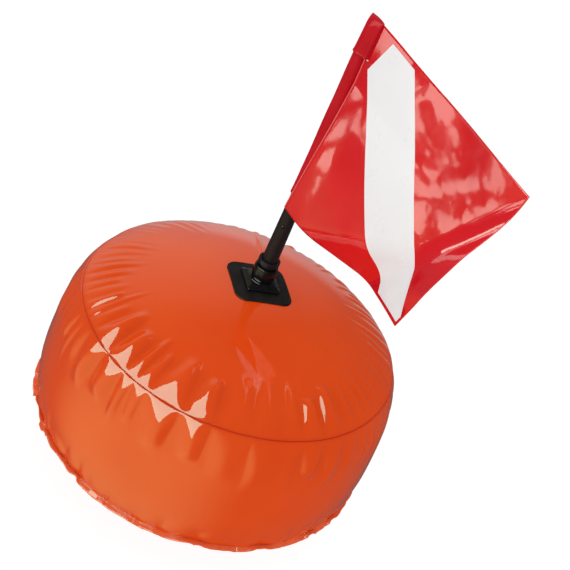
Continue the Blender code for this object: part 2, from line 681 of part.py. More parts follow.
def build_hoist(sleeve_materials, weld_materials):
    """Sleeve round the mast, the bead that welds it to the sheet, and the closed pocket above."""
    top = FLAG_HEIGHT - POCKET_HEIGHT + POCKET_OVERLAP
    inner_low = sleeve_inner(SLEEVE_START_HEIGHT)
    inner_high = sleeve_inner(top)
    length = top - SLEEVE_START_HEIGHT
    sleeve = [(inner_low, 0), (inner_low + FLAG_FILM, 0)]
    sleeve += [(inner_high + FLAG_FILM, length), (inner_high, length)]
    lathe("flag_sleeve", sleeve, MAST_SEGMENTS, sleeve_materials, (0, 0, SLEEVE_Z))

    curve = bpy.data.curves.new("hoist_weld", "CURVE")
    curve.dimensions = "3D"
    curve.bevel_depth = WELD_BEAD_RADIUS
    curve.bevel_resolution = WELD_BEAD_ROUND_STEPS
    curve.use_fill_caps = True
    spline = curve.splines.new("POLY")
    spline.points.add(WELD_BEAD_STEPS)
    reach = FLAG_HEIGHT - POCKET_HEIGHT - POCKET_RAMP
    for point, share in zip(spline.points, spaced(WELD_BEAD_STEPS)):
        along, front = ridge_place(reach * share)
        point.co = (*flag_frame(along, front, reach * share), 1)
    add_object("hoist_weld", curve, weld_materials, (0, 0, FLAG_Z))

    mouth = (POCKET_MOUTH_REACH, POCKET_MOUTH_RADIUS, POCKET_MOUTH_RADIUS, 0)
    roof = (POCKET_ROOF_REACH, POCKET_ROOF_RADIUS, POCKET_ROOF_RADIUS, POCKET_HEIGHT - POCKET_ROOF)
    pinch = (POCKET_PINCH_REACH, POCKET_PINCH_BACK, POCKET_PINCH_DEPTH, POCKET_HEIGHT)
    outer = [pocket_ring(*sizes, 0) for sizes in (mouth, roof, pinch)]
    inner = [pocket_ring(*sizes, FLAG_FILM) for sizes in (mouth, roof, pinch)]
    for point in inner[-1]:
        point.z -= FLAG_FILM
    loft("flag_top_pocket", list(reversed(inner)) + outer, sleeve_materials, (0, 0, POCKET_Z))


def pocket_ring(reach, back, depth, level, inset):
    """A level ring of the pocket: round behind the mast, drawn out along the sheet's direction."""
    ring = []
    for index in range(POCKET_SEGMENTS):
        angle = math.tau * index / POCKET_SEGMENTS
        along = ((reach if math.cos(angle) > 0 else back) - inset) * math.cos(angle)
        ring.append(flag_frame(along, (depth - inset) * math.sin(angle), level))
    return ring


def build_valve(side_band, stem_materials, plug_materials, flap_materials):
    """Inflation valve: a flanged stem through the band, a flap inside, a tethered plug outside."""
    level = Vector((math.cos(VALVE_TURN), math.sin(VALVE_TURN), 0))
    lean = band_lean(VALVE_HEIGHT_SHARE)
    outward = level * math.cos(lean) + Vector((0, 0, math.sin(lean)))
    upward = Vector((0, 0, math.cos(lean))) - level * math.sin(lean)
    height = BASE_RISE + BAND_HEIGHT * VALVE_HEIGHT_SHARE
    middle = level * band_radius(VALVE_HEIGHT_SHARE) + Vector((0, 0, height))
    seat = middle + outward * (FILM / 2 + GAP)
    axis = add_axis("valve_axis", seat, outward)

    tail = -GAP - FILM - VALVE_TAIL_LENGTH
    stem = [(VALVE_BORE_RADIUS, tail), (VALVE_STEM_RADIUS, tail), (VALVE_STEM_RADIUS, 0)]
    stem += [(VALVE_FLANGE_RADIUS, 0), (VALVE_FLANGE_RADIUS, VALVE_FLANGE_THICKNESS)]
    stem += [(VALVE_STEM_RADIUS, VALVE_FLANGE_THICKNESS), (VALVE_STEM_RADIUS, VALVE_STEM_LENGTH)]
    stem.append((VALVE_BORE_RADIUS, VALVE_STEM_LENGTH))
    lathe("valve_body", stem, VALVE_SEGMENTS, stem_materials, parent=axis)

    hole = [(0, tail - CUT_OVERRUN), (VALVE_STEM_RADIUS + GAP, tail - CUT_OVERRUN)]
    hole += [(VALVE_STEM_RADIUS + GAP, CUT_OVERRUN), (0, CUT_OVERRUN)]
    cutter = lathe("cutter_valve_hole", hole, VALVE_SEGMENTS, [], parent=axis, closed=False)
    hide_cutter(cutter)
    cut(side_band, cutter)

    head = VALVE_STEM_LENGTH + GAP
    pin = head - PLUG_PIN_LENGTH
    plug = [(0, pin), (PLUG_PIN_RADIUS, pin), (PLUG_PIN_RADIUS, head), (PLUG_HEAD_RADIUS, head)]
    plug += [(PLUG_HEAD_RADIUS, head + PLUG_HEAD_THICKNESS - PLUG_HEAD_EDGE)]
    plug.append((PLUG_HEAD_RADIUS - PLUG_HEAD_EDGE, head + PLUG_HEAD_THICKNESS))
    plug.append((0, head + PLUG_HEAD_THICKNESS))
    lathe("valve_plug", plug, VALVE_SEGMENTS, plug_materials, parent=axis, closed=False)
    build_tether(plug_materials, axis, head)

    flap = [(0, 0), (FLAP_RADIUS, 0), (FLAP_RADIUS, FLAP_THICKNESS), (0, FLAP_THICKNESS)]
    hinge = add_axis("flap_axis", seat + outward * (tail - GAP) + upward * FLAP_RADIUS, outward)
    item = lathe("valve_flap", flap, FLAP_SEGMENTS, flap_materials, parent=hinge, closed=False)
    down = hinge.matrix_basis.to_3x3().inverted() @ (upward * -FLAP_RADIUS)
    item.location = down - Vector((0, 0, FLAP_THICKNESS))


def build_tether(materials, axis, head):
    """Loose ring round the stem, with the strap that ties the plug's head to it, in one piece."""
    inner = VALVE_STEM_RADIUS + RUNNING_GAP
    outer = inner + TETHER_WALL
    low = VALVE_FLANGE_THICKNESS + TETHER_SEAT
    high = low + TETHER_THICKNESS
    strap_top = head + PLUG_HEAD_THICKNESS
    strap_inner = PLUG_HEAD_RADIUS + GAP
    strap_outer = strap_inner + TETHER_WALL
    half = math.asin(TETHER_STRAP_WIDTH / 2 / outer)
    angles = [half + (math.tau - 2 * half) * share for share in spaced(VALVE_SEGMENTS)]

    mesh = bmesh.new()
    rows = []
    for angle in angles:
        direction = Vector((math.cos(angle), math.sin(angle), 0))
        row = [direction * radius + Vector((0, 0, level)) for radius, level in
               ((inner, low), (outer, low), (outer, high), (inner, high))]
        rows.append([mesh.verts.new(point) for point in row])
    for before, after in zip(rows, rows[1:]):
        for index in range(4):
            follow = (index + 1) % 4
            mesh.faces.new((before[index], before[follow], after[follow], after[index]))
    side = outer * math.sin(half)
    strap = []
    for sign in (-1, 1):
        corners = [(strap_outer, low), (strap_outer, strap_top)]
        corners += [(strap_inner, strap_top), (strap_inner, high)]
        strap.append([mesh.verts.new((x, sign * side, z)) for x, z in corners])
    right, left = strap
    first, last = rows[0], rows[-1]
    for index in range(3):
        mesh.faces.new((right[index], right[index + 1], left[index + 1], left[index]))
    for edge, corner in ((first, left), (last, right)):
        mesh.faces.new((edge[0], edge[1], edge[2], edge[3], corner[3], corner[2], corner[1], corner[0]))
    mesh.faces.new((first[0], first[3], last[3], last[0]))
    mesh.faces.new((first[0], left[0], right[0], last[0]))
    mesh.faces.new((first[3], left[3], right[3], last[3]))
    finish_mesh("valve_tether", mesh, materials, parent=axis)


def build_tow(tab_materials, ring_materials):
    """Strap tab that clamps the lower seam's fin, and the ring that hangs in its eye."""
    stack = FILM + WELD_STEP + GAP
    leg = stack + TAB_THICKNESS / 2
    eye = RING_WIRE + RING_CLEARANCE + TAB_THICKNESS / 2
    fin = LOWER_SEAM_RADIUS + OUTER_WELD_WIDTH
    centre = fin + GAP + TAB_THICKNESS / 2 + eye
    throat = math.pi - math.asin(leg / eye)
    path = [(fin - TAB_GRIP - centre, leg)]
    for share in spaced(TAB_ARC_STEPS):
        angle = throat * (1 - 2 * share)
        path.append((eye * math.cos(angle), eye * math.sin(angle)))
    path.append((fin - TAB_GRIP - centre, -leg))
    outward = Vector((math.cos(TOW_TURN), math.sin(TOW_TURN), 0))
    place = outward * centre + Vector((0, 0, BASE_RISE))
    tab = ribbon("tow_tab", path, TAB_THICKNESS, TAB_WIDTH, tab_materials, place)
    tab.rotation_euler = (0, 0, TOW_TURN - math.pi / 2)

    curve = bpy.data.curves.new("tow_ring", "CURVE")
    curve.dimensions = "3D"
    curve.bevel_depth = RING_WIRE
    curve.bevel_resolution = RING_ROUND_STEPS
    corner = []
    for share in spaced(RING_CORNER_STEPS):
        angle = math.pi / 2 * share
        reach = RING_HALF_WIDTH - RING_CORNER + RING_CORNER * math.sin(angle)
        corner.append((reach, -RING_CORNER + RING_CORNER * math.cos(angle)))
    points = list(corner)
    for share in spaced(RING_ARC_STEPS):
        drop = RING_DROP + RING_HALF_WIDTH * math.sin(math.pi * share)
        points.append((RING_HALF_WIDTH * math.cos(math.pi * share), -drop))
    points += [(-x, z) for x, z in reversed(corner)]
    spline = curve.splines.new("POLY")
    spline.points.add(len(points) - 1)
    for point, (x, z) in zip(spline.points, points):
        point.co = (x, 0, z, 1)
    spline.use_cyclic_u = True
    ring = add_object("tow_ring", curve, ring_materials, place)
    ring.rotation_euler = (0, 0, TOW_TURN - math.pi / 2)


def main():
    """Build every piece of the float."""
    clear_scene()
    orange = make_material("orange_film", (0.80, 0.10, 0.015), 0.12)
    patch = make_material("patch_vinyl", (0.035, 0.037, 0.042), 0.55)
    socket = make_material("socket_black", (0.012, 0.012, 0.013), 0.25)
    mast_black = make_material("mast_black", (0.022, 0.019, 0.018), 0.38)
    red = make_material("flag_red", (0.72, 0.008, 0.014), 0.10)
    white = make_material("flag_white", (0.86, 0.86, 0.87), 0.12)
    dark_red = make_material("sleeve_red", (0.50, 0.006, 0.014), 0.20)
    seal = make_material("seal_rubber", (0.02, 0.02, 0.02), 0.60)
    steel = make_material("spring_steel", (0.60, 0.60, 0.62), 0.25, 1.0)
    clear = make_material("valve_vinyl", (0.85, 0.85, 0.83), 0.20)
    strap = make_material("tab_strap", (0.03, 0.03, 0.035), 0.70)

    side_band = build_float([orange])
    build_patch([patch])
    build_base([socket])
    plug = build_plug([mast_black])
    build_nut([socket], [clear], [seal])
    mast = build_mast([mast_black])
    build_button(mast, plug, [socket], [steel])
    build_cap([mast_black])
    build_sheet([red, white])
    build_hoist([dark_red], [red])
    build_valve(side_band, [clear], [clear], [orange])
    build_tow([strap], [steel])


main()
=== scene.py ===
"""Looks of the dive flag float: puckered film, glossy flag, moulded socket, soft studio light.

Metres, in the frame's own axes: +Z up the mast, the front of the float towards -Y.
"""

import math

import bmesh
import bpy
import numpy as np
from mathutils import Matrix, Vector


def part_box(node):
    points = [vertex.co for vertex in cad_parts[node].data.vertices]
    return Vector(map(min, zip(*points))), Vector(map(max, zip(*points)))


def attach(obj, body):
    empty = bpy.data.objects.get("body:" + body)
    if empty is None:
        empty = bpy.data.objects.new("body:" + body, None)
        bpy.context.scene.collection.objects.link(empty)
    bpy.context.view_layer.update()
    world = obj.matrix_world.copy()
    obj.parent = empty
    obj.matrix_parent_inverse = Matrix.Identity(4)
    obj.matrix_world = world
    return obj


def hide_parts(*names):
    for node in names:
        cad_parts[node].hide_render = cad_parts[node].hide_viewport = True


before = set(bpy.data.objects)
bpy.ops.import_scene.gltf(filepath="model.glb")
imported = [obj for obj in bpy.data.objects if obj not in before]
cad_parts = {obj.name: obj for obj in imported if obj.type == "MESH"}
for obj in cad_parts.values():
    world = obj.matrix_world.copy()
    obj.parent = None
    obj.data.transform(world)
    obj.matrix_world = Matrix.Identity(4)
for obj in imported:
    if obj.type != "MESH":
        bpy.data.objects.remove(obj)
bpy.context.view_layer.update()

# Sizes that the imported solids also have
GAP = 0.0003
FILM = 0.0006
LOWER_SEAM_RADIUS = 0.1917
UPPER_SEAM_RADIUS = 0.1800
BASE_RISE = 0.050
BAND_HEIGHT = 0.1476
BAND_BULGE = 0.0104
BAND_POWER = 2.6
CROWN_RISE = 0.0543
CROWN_POWER = 2.3
BASE_POWER = 2.0
REST_RADIUS = 0.050
INNER_WELD_WIDTH = 0.005
OUTER_WELD_WIDTH = 0.0065
INNER_WELD_SLOPE = math.radians(38)
WELD_STEP = (FILM + GAP) / 2
UPPER_WELD_Z = BASE_RISE + BAND_HEIGHT
CROWN_Z = UPPER_WELD_Z + CROWN_RISE
CUP_HOLE_RADIUS = 0.0113

PATCH_SIDE = 0.0655
PATCH_CORNER = 0.013
PATCH_THICKNESS = 0.0015
PATCH_TURN = math.radians(27.8)
PATCH_Z = CROWN_Z + FILM / 2 + GAP

PLATE_SIDE = 0.038
PLATE_CORNER = 0.0025
PLATE_THICKNESS = 0.002
CHAMFER_HEIGHT = 0.003
CHAMFER_INSET = 0.0045
DISC_RADIUS = 0.0138
DISC_THICKNESS = 0.0012
STUB_RADIUS = 0.0106
THREAD_DEPTH = 0.0008
THREAD_PITCH = 0.0015
THREAD_TURNS = 5
STUB_HEIGHT = 0.0095
BORE_RADIUS = 0.0089
CUP_RADIUS = 0.0110
CUP_DEPTH = 0.030
CUP_FLOOR = 0.0020
PLATE_Z = PATCH_Z + PATCH_THICKNESS + GAP
STUB_Z = PLATE_Z + PLATE_THICKNESS + CHAMFER_HEIGHT + DISC_THICKNESS
STUB_TOP_Z = STUB_Z + STUB_HEIGHT

NUT_BORE_RADIUS = STUB_RADIUS + THREAD_DEPTH + 0.0004
NUT_RADIUS = NUT_BORE_RADIUS + 0.0013
NUT_GROOVE_DEPTH = 0.0006
NUT_GROOVE_WIDTH = 0.0012
NUT_LIP_RADIUS = 0.0091
NUT_BOTTOM_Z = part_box("socket_nut")[0].z
NUT_TOP_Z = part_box("socket_nut")[1].z
NUT_LIP_Z = NUT_TOP_Z - 0.0020

MAST_BASE_RADIUS = 0.0087
MAST_TIP_RADIUS = 0.0053
MAST_WALL = 0.0015
MAST_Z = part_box("mast")[0].z
MAST_TOP_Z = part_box("mast")[1].z
COLLAR_INNER_RADIUS = MAST_BASE_RADIUS + GAP
COLLAR_RADIUS = COLLAR_INNER_RADIUS + 0.0029
COLLAR_HEIGHT = 0.0056
BUTTON_Z = MAST_Z + 0.052
BUTTON_TURN = math.radians(-100)
BUTTON_RADIUS = 0.0017
BUTTON_HOLE_RADIUS = 0.0020
BUTTON_PROUD = 0.0008
BUTTON_FLANGE_RADIUS = 0.0025
BUTTON_FLANGE_THICKNESS = 0.0008
BUTTON_FLANGE_TOP = 0.0050

FLAG_FILM = 0.0005
FLAG_HEIGHT = 0.2201
FLAG_FLY = 0.2565
FLAG_DIRECTION = math.radians(-47.4)
FLAG_SWING = math.radians(3.4)
FLAG_Z = CROWN_Z + 0.3222 - FLAG_HEIGHT
RIDGE_WRAP = math.radians(94)
RIDGE_STRAIGHT_HEIGHT = 0.155
WELD_BEAD_RADIUS = 0.0008
BACK_FOLD = (math.radians(-56), 0.0168, 0.0363, math.radians(-35.6))
FRONT_FOLD = (math.radians(-31.1), 0.103, 0.030, math.radians(48))
BAR_HALF_WIDTH = 0.0335
BAR_TURN = math.radians(-48.5)
BAR_START_HEIGHT = 0.250
BAR_BORDER = 0.0055
BAR_HOIST_PLACE = (0.0206, 0.1760)
BAR_HOIST_LEAN = math.radians(-21.4)
SLEEVE_START_HEIGHT = 0.017
SLEEVE_CLEARANCE = 0.0005
SLEEVE_TOP_CLEARANCE = 0.0009
POCKET_HEIGHT = 0.038
POCKET_OVERLAP = 0.006
POCKET_RAMP = 0.0004
POCKET_EDGE = 0.0133
POCKET_FOOT = FLAG_HEIGHT - POCKET_HEIGHT
POCKET_MOUTH = POCKET_FOOT - GAP
POCKET_Z = FLAG_Z + POCKET_FOOT

VALVE_TURN = math.radians(127.5)
VALVE_Z = BASE_RISE + BAND_HEIGHT / 2
VALVE_FLANGE_RADIUS = 0.0135
VALVE_FLANGE_THICKNESS = 0.0010
VALVE_STEM_RADIUS = 0.0055
VALVE_BORE_RADIUS = 0.0031
VALVE_STEM_LENGTH = 0.014
VALVE_TAIL_LENGTH = 0.0030
PLUG_PIN_RADIUS = 0.0028
PLUG_PIN_LENGTH = 0.009
PLUG_HEAD_RADIUS = 0.0068
PLUG_HEAD_THICKNESS = 0.0020

TOW_TURN = math.radians(90)
TAB_THICKNESS = 0.0010
TAB_WIDTH = 0.020
TAB_GRIP = 0.0035
RING_WIRE = 0.0020
RING_HALF_WIDTH = 0.0130
RING_DROP = 0.0085
RING_CORNER = 0.0035
TAB_LEG = FILM + WELD_STEP + GAP + TAB_THICKNESS / 2
TAB_EYE = RING_WIRE + 0.0005 + TAB_THICKNESS / 2
FIN_RADIUS = LOWER_SEAM_RADIUS + OUTER_WELD_WIDTH
RING_CENTRE = FIN_RADIUS + GAP + TAB_THICKNESS / 2 + TAB_EYE
TOW_PLACE = (Matrix.Rotation(TOW_TURN - math.pi / 2, 4, "Z")
             @ Matrix.Translation((0, RING_CENTRE, BASE_RISE)))

# Camera: where the photo was taken from, and its roll
VIEW_DOWN = math.radians(33.17273)
VIEW_ROLL = math.radians(24.66797)
VIEW_DISTANCE = 1.300
VIEW_RIGHT = 0.0735854
VIEW_UP = 0.0982294
VIEW_ORIGIN_Z = 0.12025
VIEW_LENS = 72.0902
VIEW_SENSOR = 36.0

# Puckers of the film. The creases that show in the photo have their own azimuths, in degrees
SEED = 41
SEEN_CREASES = (-165.0, -160.0, -155.5, -150.5, -146.0, -142.0, -137.0, -127.0, -117.5, -112.5, -107.0,
                -94.0, -83.5, -71.0, -60.0, -53.0, -44.5, -35.0, -28.5, -22.5, -17.0, -11.0, -5.5, 0.0)
HIDDEN_LOBES = 36
UPPER_SEED = 691
LOBE_COLUMNS = 14
LOBE_WIDTH_SPREAD = 0.9
LOWER_DRIFT = 0.32
LOWER_EVENNESS = 0.35
LOBE_HEIGHTS = (0.4, 1.5)
LOBE_LENGTHS = (0.55, 1.25)
LOBE_SKEWS = (0.72, 1.35)
LARGEST_BEND = 1.2
UPPER_BEND = 0.022
LOWER_BEND = 0.02
BEND_REACH = 0.08
LOBE_POWERS = (0.75, 2.0)
LOBE_POWER_RANGE = (0.004, 0.040)
WIDEST_LOBE = 0.030
CREASE_SINK = 0.35
VALLEY = 0.07
SIDE_TURN = math.radians(10)
SIDE_TIGHTNESS = 0.70
REAR_TIGHTNESS = 0.6
SIDE_REACH = (0.85, 0.40)

# Rows of each panel and how they crowd towards its seams, and where the middle stays calm
TOP_ROWS = 84
TOP_CROWDING = 1.9
TOP_CALM = (0.046, 0.095)
BAND_ROWS = 96
BAND_CROWDING = 0.62
RIM_ROWS = 6
BOTTOM_ROWS = 60
BOTTOM_CROWDING = 1.5
BOTTOM_CALM = (0.075, 0.13)
BOTTOM_FLAT_RADII = (0.036, 0.022, 0.010, 0.0005)
TAB_CLEAR = (math.radians(4.5), math.radians(14))
VALVE_CLEAR = (VALVE_FLANGE_RADIUS + 0.004, 0.045)
VALVE_HOLE_RADIUS = VALVE_STEM_RADIUS + 0.0025
VALVE_HOLE_DEPTH = 0.02

# Heights of the slow and fine waves, and how near the seams they start or end
TOP_SLOW_WAVES = 0.0003
TOP_FINE_WAVES = 0.00012
TOP_FINE_REACH = 0.012
BAND_SLOW_WAVES = 0.0004
BAND_FINE_WAVES = 0.00014
BAND_FINE_REACH = 0.010
SLOW_WAVE_START = 0.02

# Seams, and the film beside them
SEAM_RISE = math.cos(INNER_WELD_SLOPE) * WELD_STEP
SEAM_IN = (-math.cos(INNER_WELD_SLOPE), -math.sin(INNER_WELD_SLOPE))
SEAM_OUT = (math.cos(INNER_WELD_SLOPE), math.sin(INNER_WELD_SLOPE))
SEAM_BLEND = 0.004
SEAM_WANDER = 0.0009
SEAM_WANDER_REACH = 0.012
GROOVE_DEPTH = 0.0009
GROOVE_REACH = 0.0013
TOP_STEEPNESS = 0.240
TOP_CREST = 0.030
TOP_LENGTH = 0.060
TOP_ROLL = 0.0010
BAND_STEEPNESS = 0.220
BAND_CREST = 0.030
BAND_LENGTH = 0.068
BAND_ROLL = 0.0005
FIN_STEEPNESS = 0.065
FIN_CREST = 0.010
FIN_LENGTH = 0.040
FIN_RUFFLE = 0.0052
RIM_RUFFLE_SHARE = 0.65
SEAM_RUFFLE_SHARE = 0.35
RUFFLE_REACH = 0.014
FIN_GATHER = 0.40
RIM_BLEND = 0.006
WELD_MARK = 0.0012
FIN_WELD_MARK = 0.35
RIM_WELD_MARK = 0.05
# Painted light on the fin: how much paler it is painted for light shining through the thin film, and how fast
# that fades from the lower seam
FIN_PAINTED_LIGHT = 0.6
FIN_PAINTED_LIGHT_REACH = 0.0008

# Edges of the patch and the base
PATCH_RIM = 0.0006
PATCH_PRESS_DEPTH = 0.00035
PATCH_PRESS_WIDTH = 0.0007
PATCH_PRESS_INSET = 0.0032
PATCH_WAVE = 0.00022
PATCH_WAVE_FLOOR = -0.0001
BASE_COLUMNS = 144
BASE_EDGE = 0.00035
MIDDLE_HOLE = 0.0002

# Flag: grid, and waves of (height, pitch, count) off its surface
FLAG_COLUMNS = 128
FLAG_ROWS = 116
FLAG_WAVES = ((0.0008, 52, 5), (0.00007, 150, 6), (0.00001, 420, 6))
FLAG_WAVE_START = (0.004, 0.030)
SLEEVE_CREASE = 0.00013
SLEEVE_FINE_CREASE = 0.00008
SLEEVE_FLARE = 0.0005
SLEEVE_FLARE_REACH = 0.004
BEAD_MARK_PITCH = 0.0011
POCKET_DENT = 0.30
POCKET_DENT_PLACE = 0.62
POCKET_DENT_WIDTH = 0.22
POCKET_LIP = 0.0006
POCKET_LIP_REACH = 0.002

# Pocket: height above its mouth, reach to the sheet, reach behind and half depth
POCKET_STATIONS = (
    (0.000, 0.0125, 0.0084, 0.0084),
    (0.028, 0.0130, 0.0073, 0.0073),
    (0.038, 0.0133, 0.0080, 0.0013),
)

# Window card: place, target, width and height. Its reflection adds less red to the orange film
WINDOW = ((-0.988, -1.289, 1.101), (-0.13, -0.13, 0.20), 2.70, 1.65)
WINDOW_LEVEL = 7.0
FILM_WINDOW_LEVEL = 7.15
CARD_COLOUR = (1.0, 0.98, 0.86)
FILM_WINDOW_COLOUR = (0.42, 1.0, 0.80)

# Small cards that only the flag mirrors, as broken pale patches: (place, width, height) of each
FLAG_MIDDLE = (0.12, -0.14, 0.45)
FLAG_CARD_LEVEL = 3.6
FLAG_CARDS = (
    ((-0.90, -0.112, 0.210), 0.135, 0.165),
    ((-0.90, -0.150, 0.066), 0.070, 0.048),
    ((-0.90, -0.190, -0.030), 0.060, 0.080),
    ((-0.90, -0.008, 0.160), 0.036, 0.036),
    ((-0.90, 0.050, 0.250), 0.070, 0.080),
    ((-0.90, 1.100, 0.200), 0.600, 0.260),
)

# Light of the surround: even for the colours; areas of (direction, inner angle, outer angle, level) for
# mirror images, the warm ones from the beige floor and wall beside the camera
EVEN_LIGHT = 0.90
LEFT_GAIN = 0.24
PALE_LEVEL = 0.10
PALE_AREAS = (
    ((-0.40, 0.85, 0.34), 10, 46, 0.31),
    ((0.0, 0.96, -0.26), 8, 24, 0.30),
)
WARM_COLOUR = (1.0, 0.95, 0.36)
WARM_AREAS = (
    ((-0.41, -0.78, -0.47), 18, 64, 1.20),
    ((-0.58, 0.58, 0.57), 12, 44, 0.26),
)
FLOOR_GLOW = 0.93

# Edges sharper than this stay sharp. Where a noise starts and ends a blend, and on the sheets
SHARP_EDGE = math.radians(40)
NOISE_SPAN = (0.3, 0.7)
SOFT_SPAN = (0.35, 0.65)


def spaced(count):
    """Shares from 0 to 1 in even steps."""
    return np.linspace(0, 1, count + 1)


def circle(count):
    """Even angles round a full turn."""
    return math.tau * np.arange(count) / count


def smooth_step(value, start, end):
    """0 before start, 1 after end, and an eased ramp between."""
    share = np.clip((value - start) / (end - start), 0, 1)
    return share * share * (3 - 2 * share)


def mix(first, second, share):
    """Between two values."""
    return first + (second - first) * share


def angle_between(angles, turn):
    """Angles between directions and one direction, the short way round."""
    return np.abs((angles - turn + math.pi) % math.tau - math.pi)


def unit(vectors):
    """Vectors of length 1."""
    return vectors / np.linalg.norm(vectors, axis=1)[:, None]


def level_points(radius, angles, height):
    """Points at a radius from the Z axis, at each angle and height."""
    places = (radius * np.cos(angles), radius * np.sin(angles), height)
    return np.stack(np.broadcast_arrays(*places), axis=-1)


def axis_place(middle, heading):
    """Matrix that carries the origin to a point, and +Z to a direction."""
    return Matrix.Translation(middle) @ heading.to_track_quat("Z", "Y").to_matrix().to_4x4()


# Materials


def new_material(name, colour, roughness, **sockets):
    """A Principled material, with constant sockets set on the shader itself."""
    material = bpy.data.materials.new(name)
    material.use_nodes = True
    shader = material.node_tree.nodes["Principled BSDF"]
    shader.inputs["Base Color"].default_value = (*colour, 1)
    shader.inputs["Roughness"].default_value = roughness
    for label, value in sockets.items():
        shader.inputs[label.replace("_", " ")].default_value = value
    material.diffuse_color = (*colour, 1)
    return material


def add_node(owner, kind, links=(), **values):
    """A node of a material or world: its values set by name or by socket, and its inputs linked."""
    node = owner.node_tree.nodes.new(kind)
    for label, value in values.items():
        if hasattr(node, label):
            setattr(node, label, value)
        else:
            node.inputs[label.replace("_", " ")].default_value = value
    for socket, source in links:
        owner.node_tree.links.new(source, node.inputs[socket])
    return node


def object_place(material):
    """Places in the object's own space."""
    return add_node(material, "ShaderNodeTexCoord").outputs["Object"]


def noise(material, scale, detail=3.0, distortion=0.0, stretch=None):
    """Noise in the object's own space."""
    place = object_place(material)
    if stretch:
        mapping = add_node(material, "ShaderNodeMapping", [("Vector", place)], Scale=stretch)
        place = mapping.outputs["Vector"]
    made = add_node(material, "ShaderNodeTexNoise", [("Vector", place)], Scale=scale, Detail=detail,
                    Distortion=distortion)
    return made.outputs["Fac"]


def ramp(material, source, low, high, to_low=0, to_high=1):
    """A value carried from one range to another."""
    node = add_node(material, "ShaderNodeMapRange", [("Value", source)], From_Min=low, From_Max=high,
                    To_Min=to_low, To_Max=to_high)
    return node.outputs["Result"]


def blend_colours(material, share, first, second):
    """A colour between two, by a share."""
    node = add_node(material, "ShaderNodeMix", [(0, share)], data_type="RGBA")
    for index, colour in ((6, first), (7, second)):
        if isinstance(colour, tuple):
            node.inputs[index].default_value = (*colour, 1)
        else:
            material.node_tree.links.new(colour, node.inputs[index])
    return node.outputs[2]


def attribute(material, name):
    """A value stored on the mesh's points."""
    return add_node(material, "ShaderNodeAttribute", attribute_name=name).outputs["Fac"]


def drive(material, socket, source):
    """Link a source to a socket of the shader."""
    shader = material.node_tree.nodes["Principled BSDF"]
    material.node_tree.links.new(source, shader.inputs[socket])


def bump(material, heights):
    """Chain of (source, strength, distance) heights into the shader's normal."""
    links = []
    for source, strength, distance in heights:
        node = add_node(material, "ShaderNodeBump", [("Height", source), *links], Strength=strength,
                        Distance=distance)
        links = [("Normal", node.outputs["Normal"])]
    drive(material, *links[0])


def mottle(material, share, shades, rubbing, gloss):
    """Blend two shades by a share, and vary the roughness between two values by a noise."""
    drive(material, "Base Color", blend_colours(material, share, *shades))
    drive(material, "Roughness", ramp(material, rubbing, *NOISE_SPAN, *gloss))


def film_material():
    """Glossy orange PVC film: darker in the weld's groove, cloudy and dusty, and painted paler on the fin:
    painted light that stands in for light shining through the thin film.
    """
    made = new_material("orange_pvc_film", (0.72, 0.064, 0.004), 0.06, IOR=1.5, Coat_Weight=0.25,
                        Coat_Roughness=0.04)
    cloud = ramp(made, noise(made, 9.0, 2.0), *SOFT_SPAN)
    base = blend_colours(made, cloud, (0.70, 0.060, 0.004), (0.73, 0.068, 0.006))
    weld = blend_colours(made, attribute(made, "weld"), base, (0.58, 0.036, 0.004))
    # Painted light: the fin's paler orange stands in for light that shines through the thin film
    mottle(made, attribute(made, "fin"), (weld, (0.86, 0.135, 0.045)), noise(made, 55.0, 4.0), (0.03, 0.09))
    bump(made, [(noise(made, 70.0, 2.0, 0.4), 0.08, 0.0003), (noise(made, 1400.0, 2.0), 0.05, 0.00004)])
    return made


def flag_material(name, light, dark, gloss=0.07, coat=0.2, specular=0.5):
    """Glossy vinyl of the flag, with faint rolling marks along the web."""
    made = new_material(name, light, gloss, IOR=1.5, Coat_Weight=coat, Coat_Roughness=0.03,
                        Specular_IOR_Level=specular)
    cloud = ramp(made, noise(made, 14.0, 3.0), *SOFT_SPAN)
    mottle(made, cloud, (light, dark), noise(made, 45.0, 4.0), (gloss * 0.7, gloss * 1.4))
    rolled = noise(made, 900.0, 2.0, 0.0, (1, 1, 0.25))
    bump(made, [(noise(made, 60.0, 2.0, 0.5), 0.10, 0.0005), (rolled, 0.05, 0.00006)])
    return made


def patch_material():
    """Matt dark vinyl, calendered with a fine leather-like grain."""
    made = new_material("patch_vinyl_matt", (0.012, 0.011, 0.011), 0.55, IOR=1.48, Specular_IOR_Level=0.12)
    cloud = ramp(made, noise(made, 80.0, 5.0), *NOISE_SPAN)
    shades = ((0.007, 0.006, 0.006), (0.015, 0.013, 0.012))
    mottle(made, cloud, shades, noise(made, 240.0, 3.0), (0.42, 0.62))
    cells = add_node(made, "ShaderNodeTexVoronoi", [("Vector", object_place(made))], Scale=1300.0)
    bump(made, [(cells.outputs["Distance"], 0.35, 0.00012), (noise(made, 90.0, 3.0), 0.2, 0.0004)])
    return made


def socket_material():
    """Moulded black plastic: flow marks, a faint texture and rubbed patches."""
    made = new_material("socket_plastic", (0.006, 0.005, 0.006), 0.12, IOR=1.5, Specular_IOR_Level=0.26)
    flow = ramp(made, noise(made, 120.0, 4.0, 0.8), *NOISE_SPAN)
    shades = ((0.003, 0.003, 0.003), (0.006, 0.005, 0.006))
    mottle(made, flow, shades, noise(made, 300.0, 5.0), (0.12, 0.24))
    bump(made, [(noise(made, 1800.0, 2.0), 0.12, 0.00006), (flow, 0.05, 0.0001)])
    return made


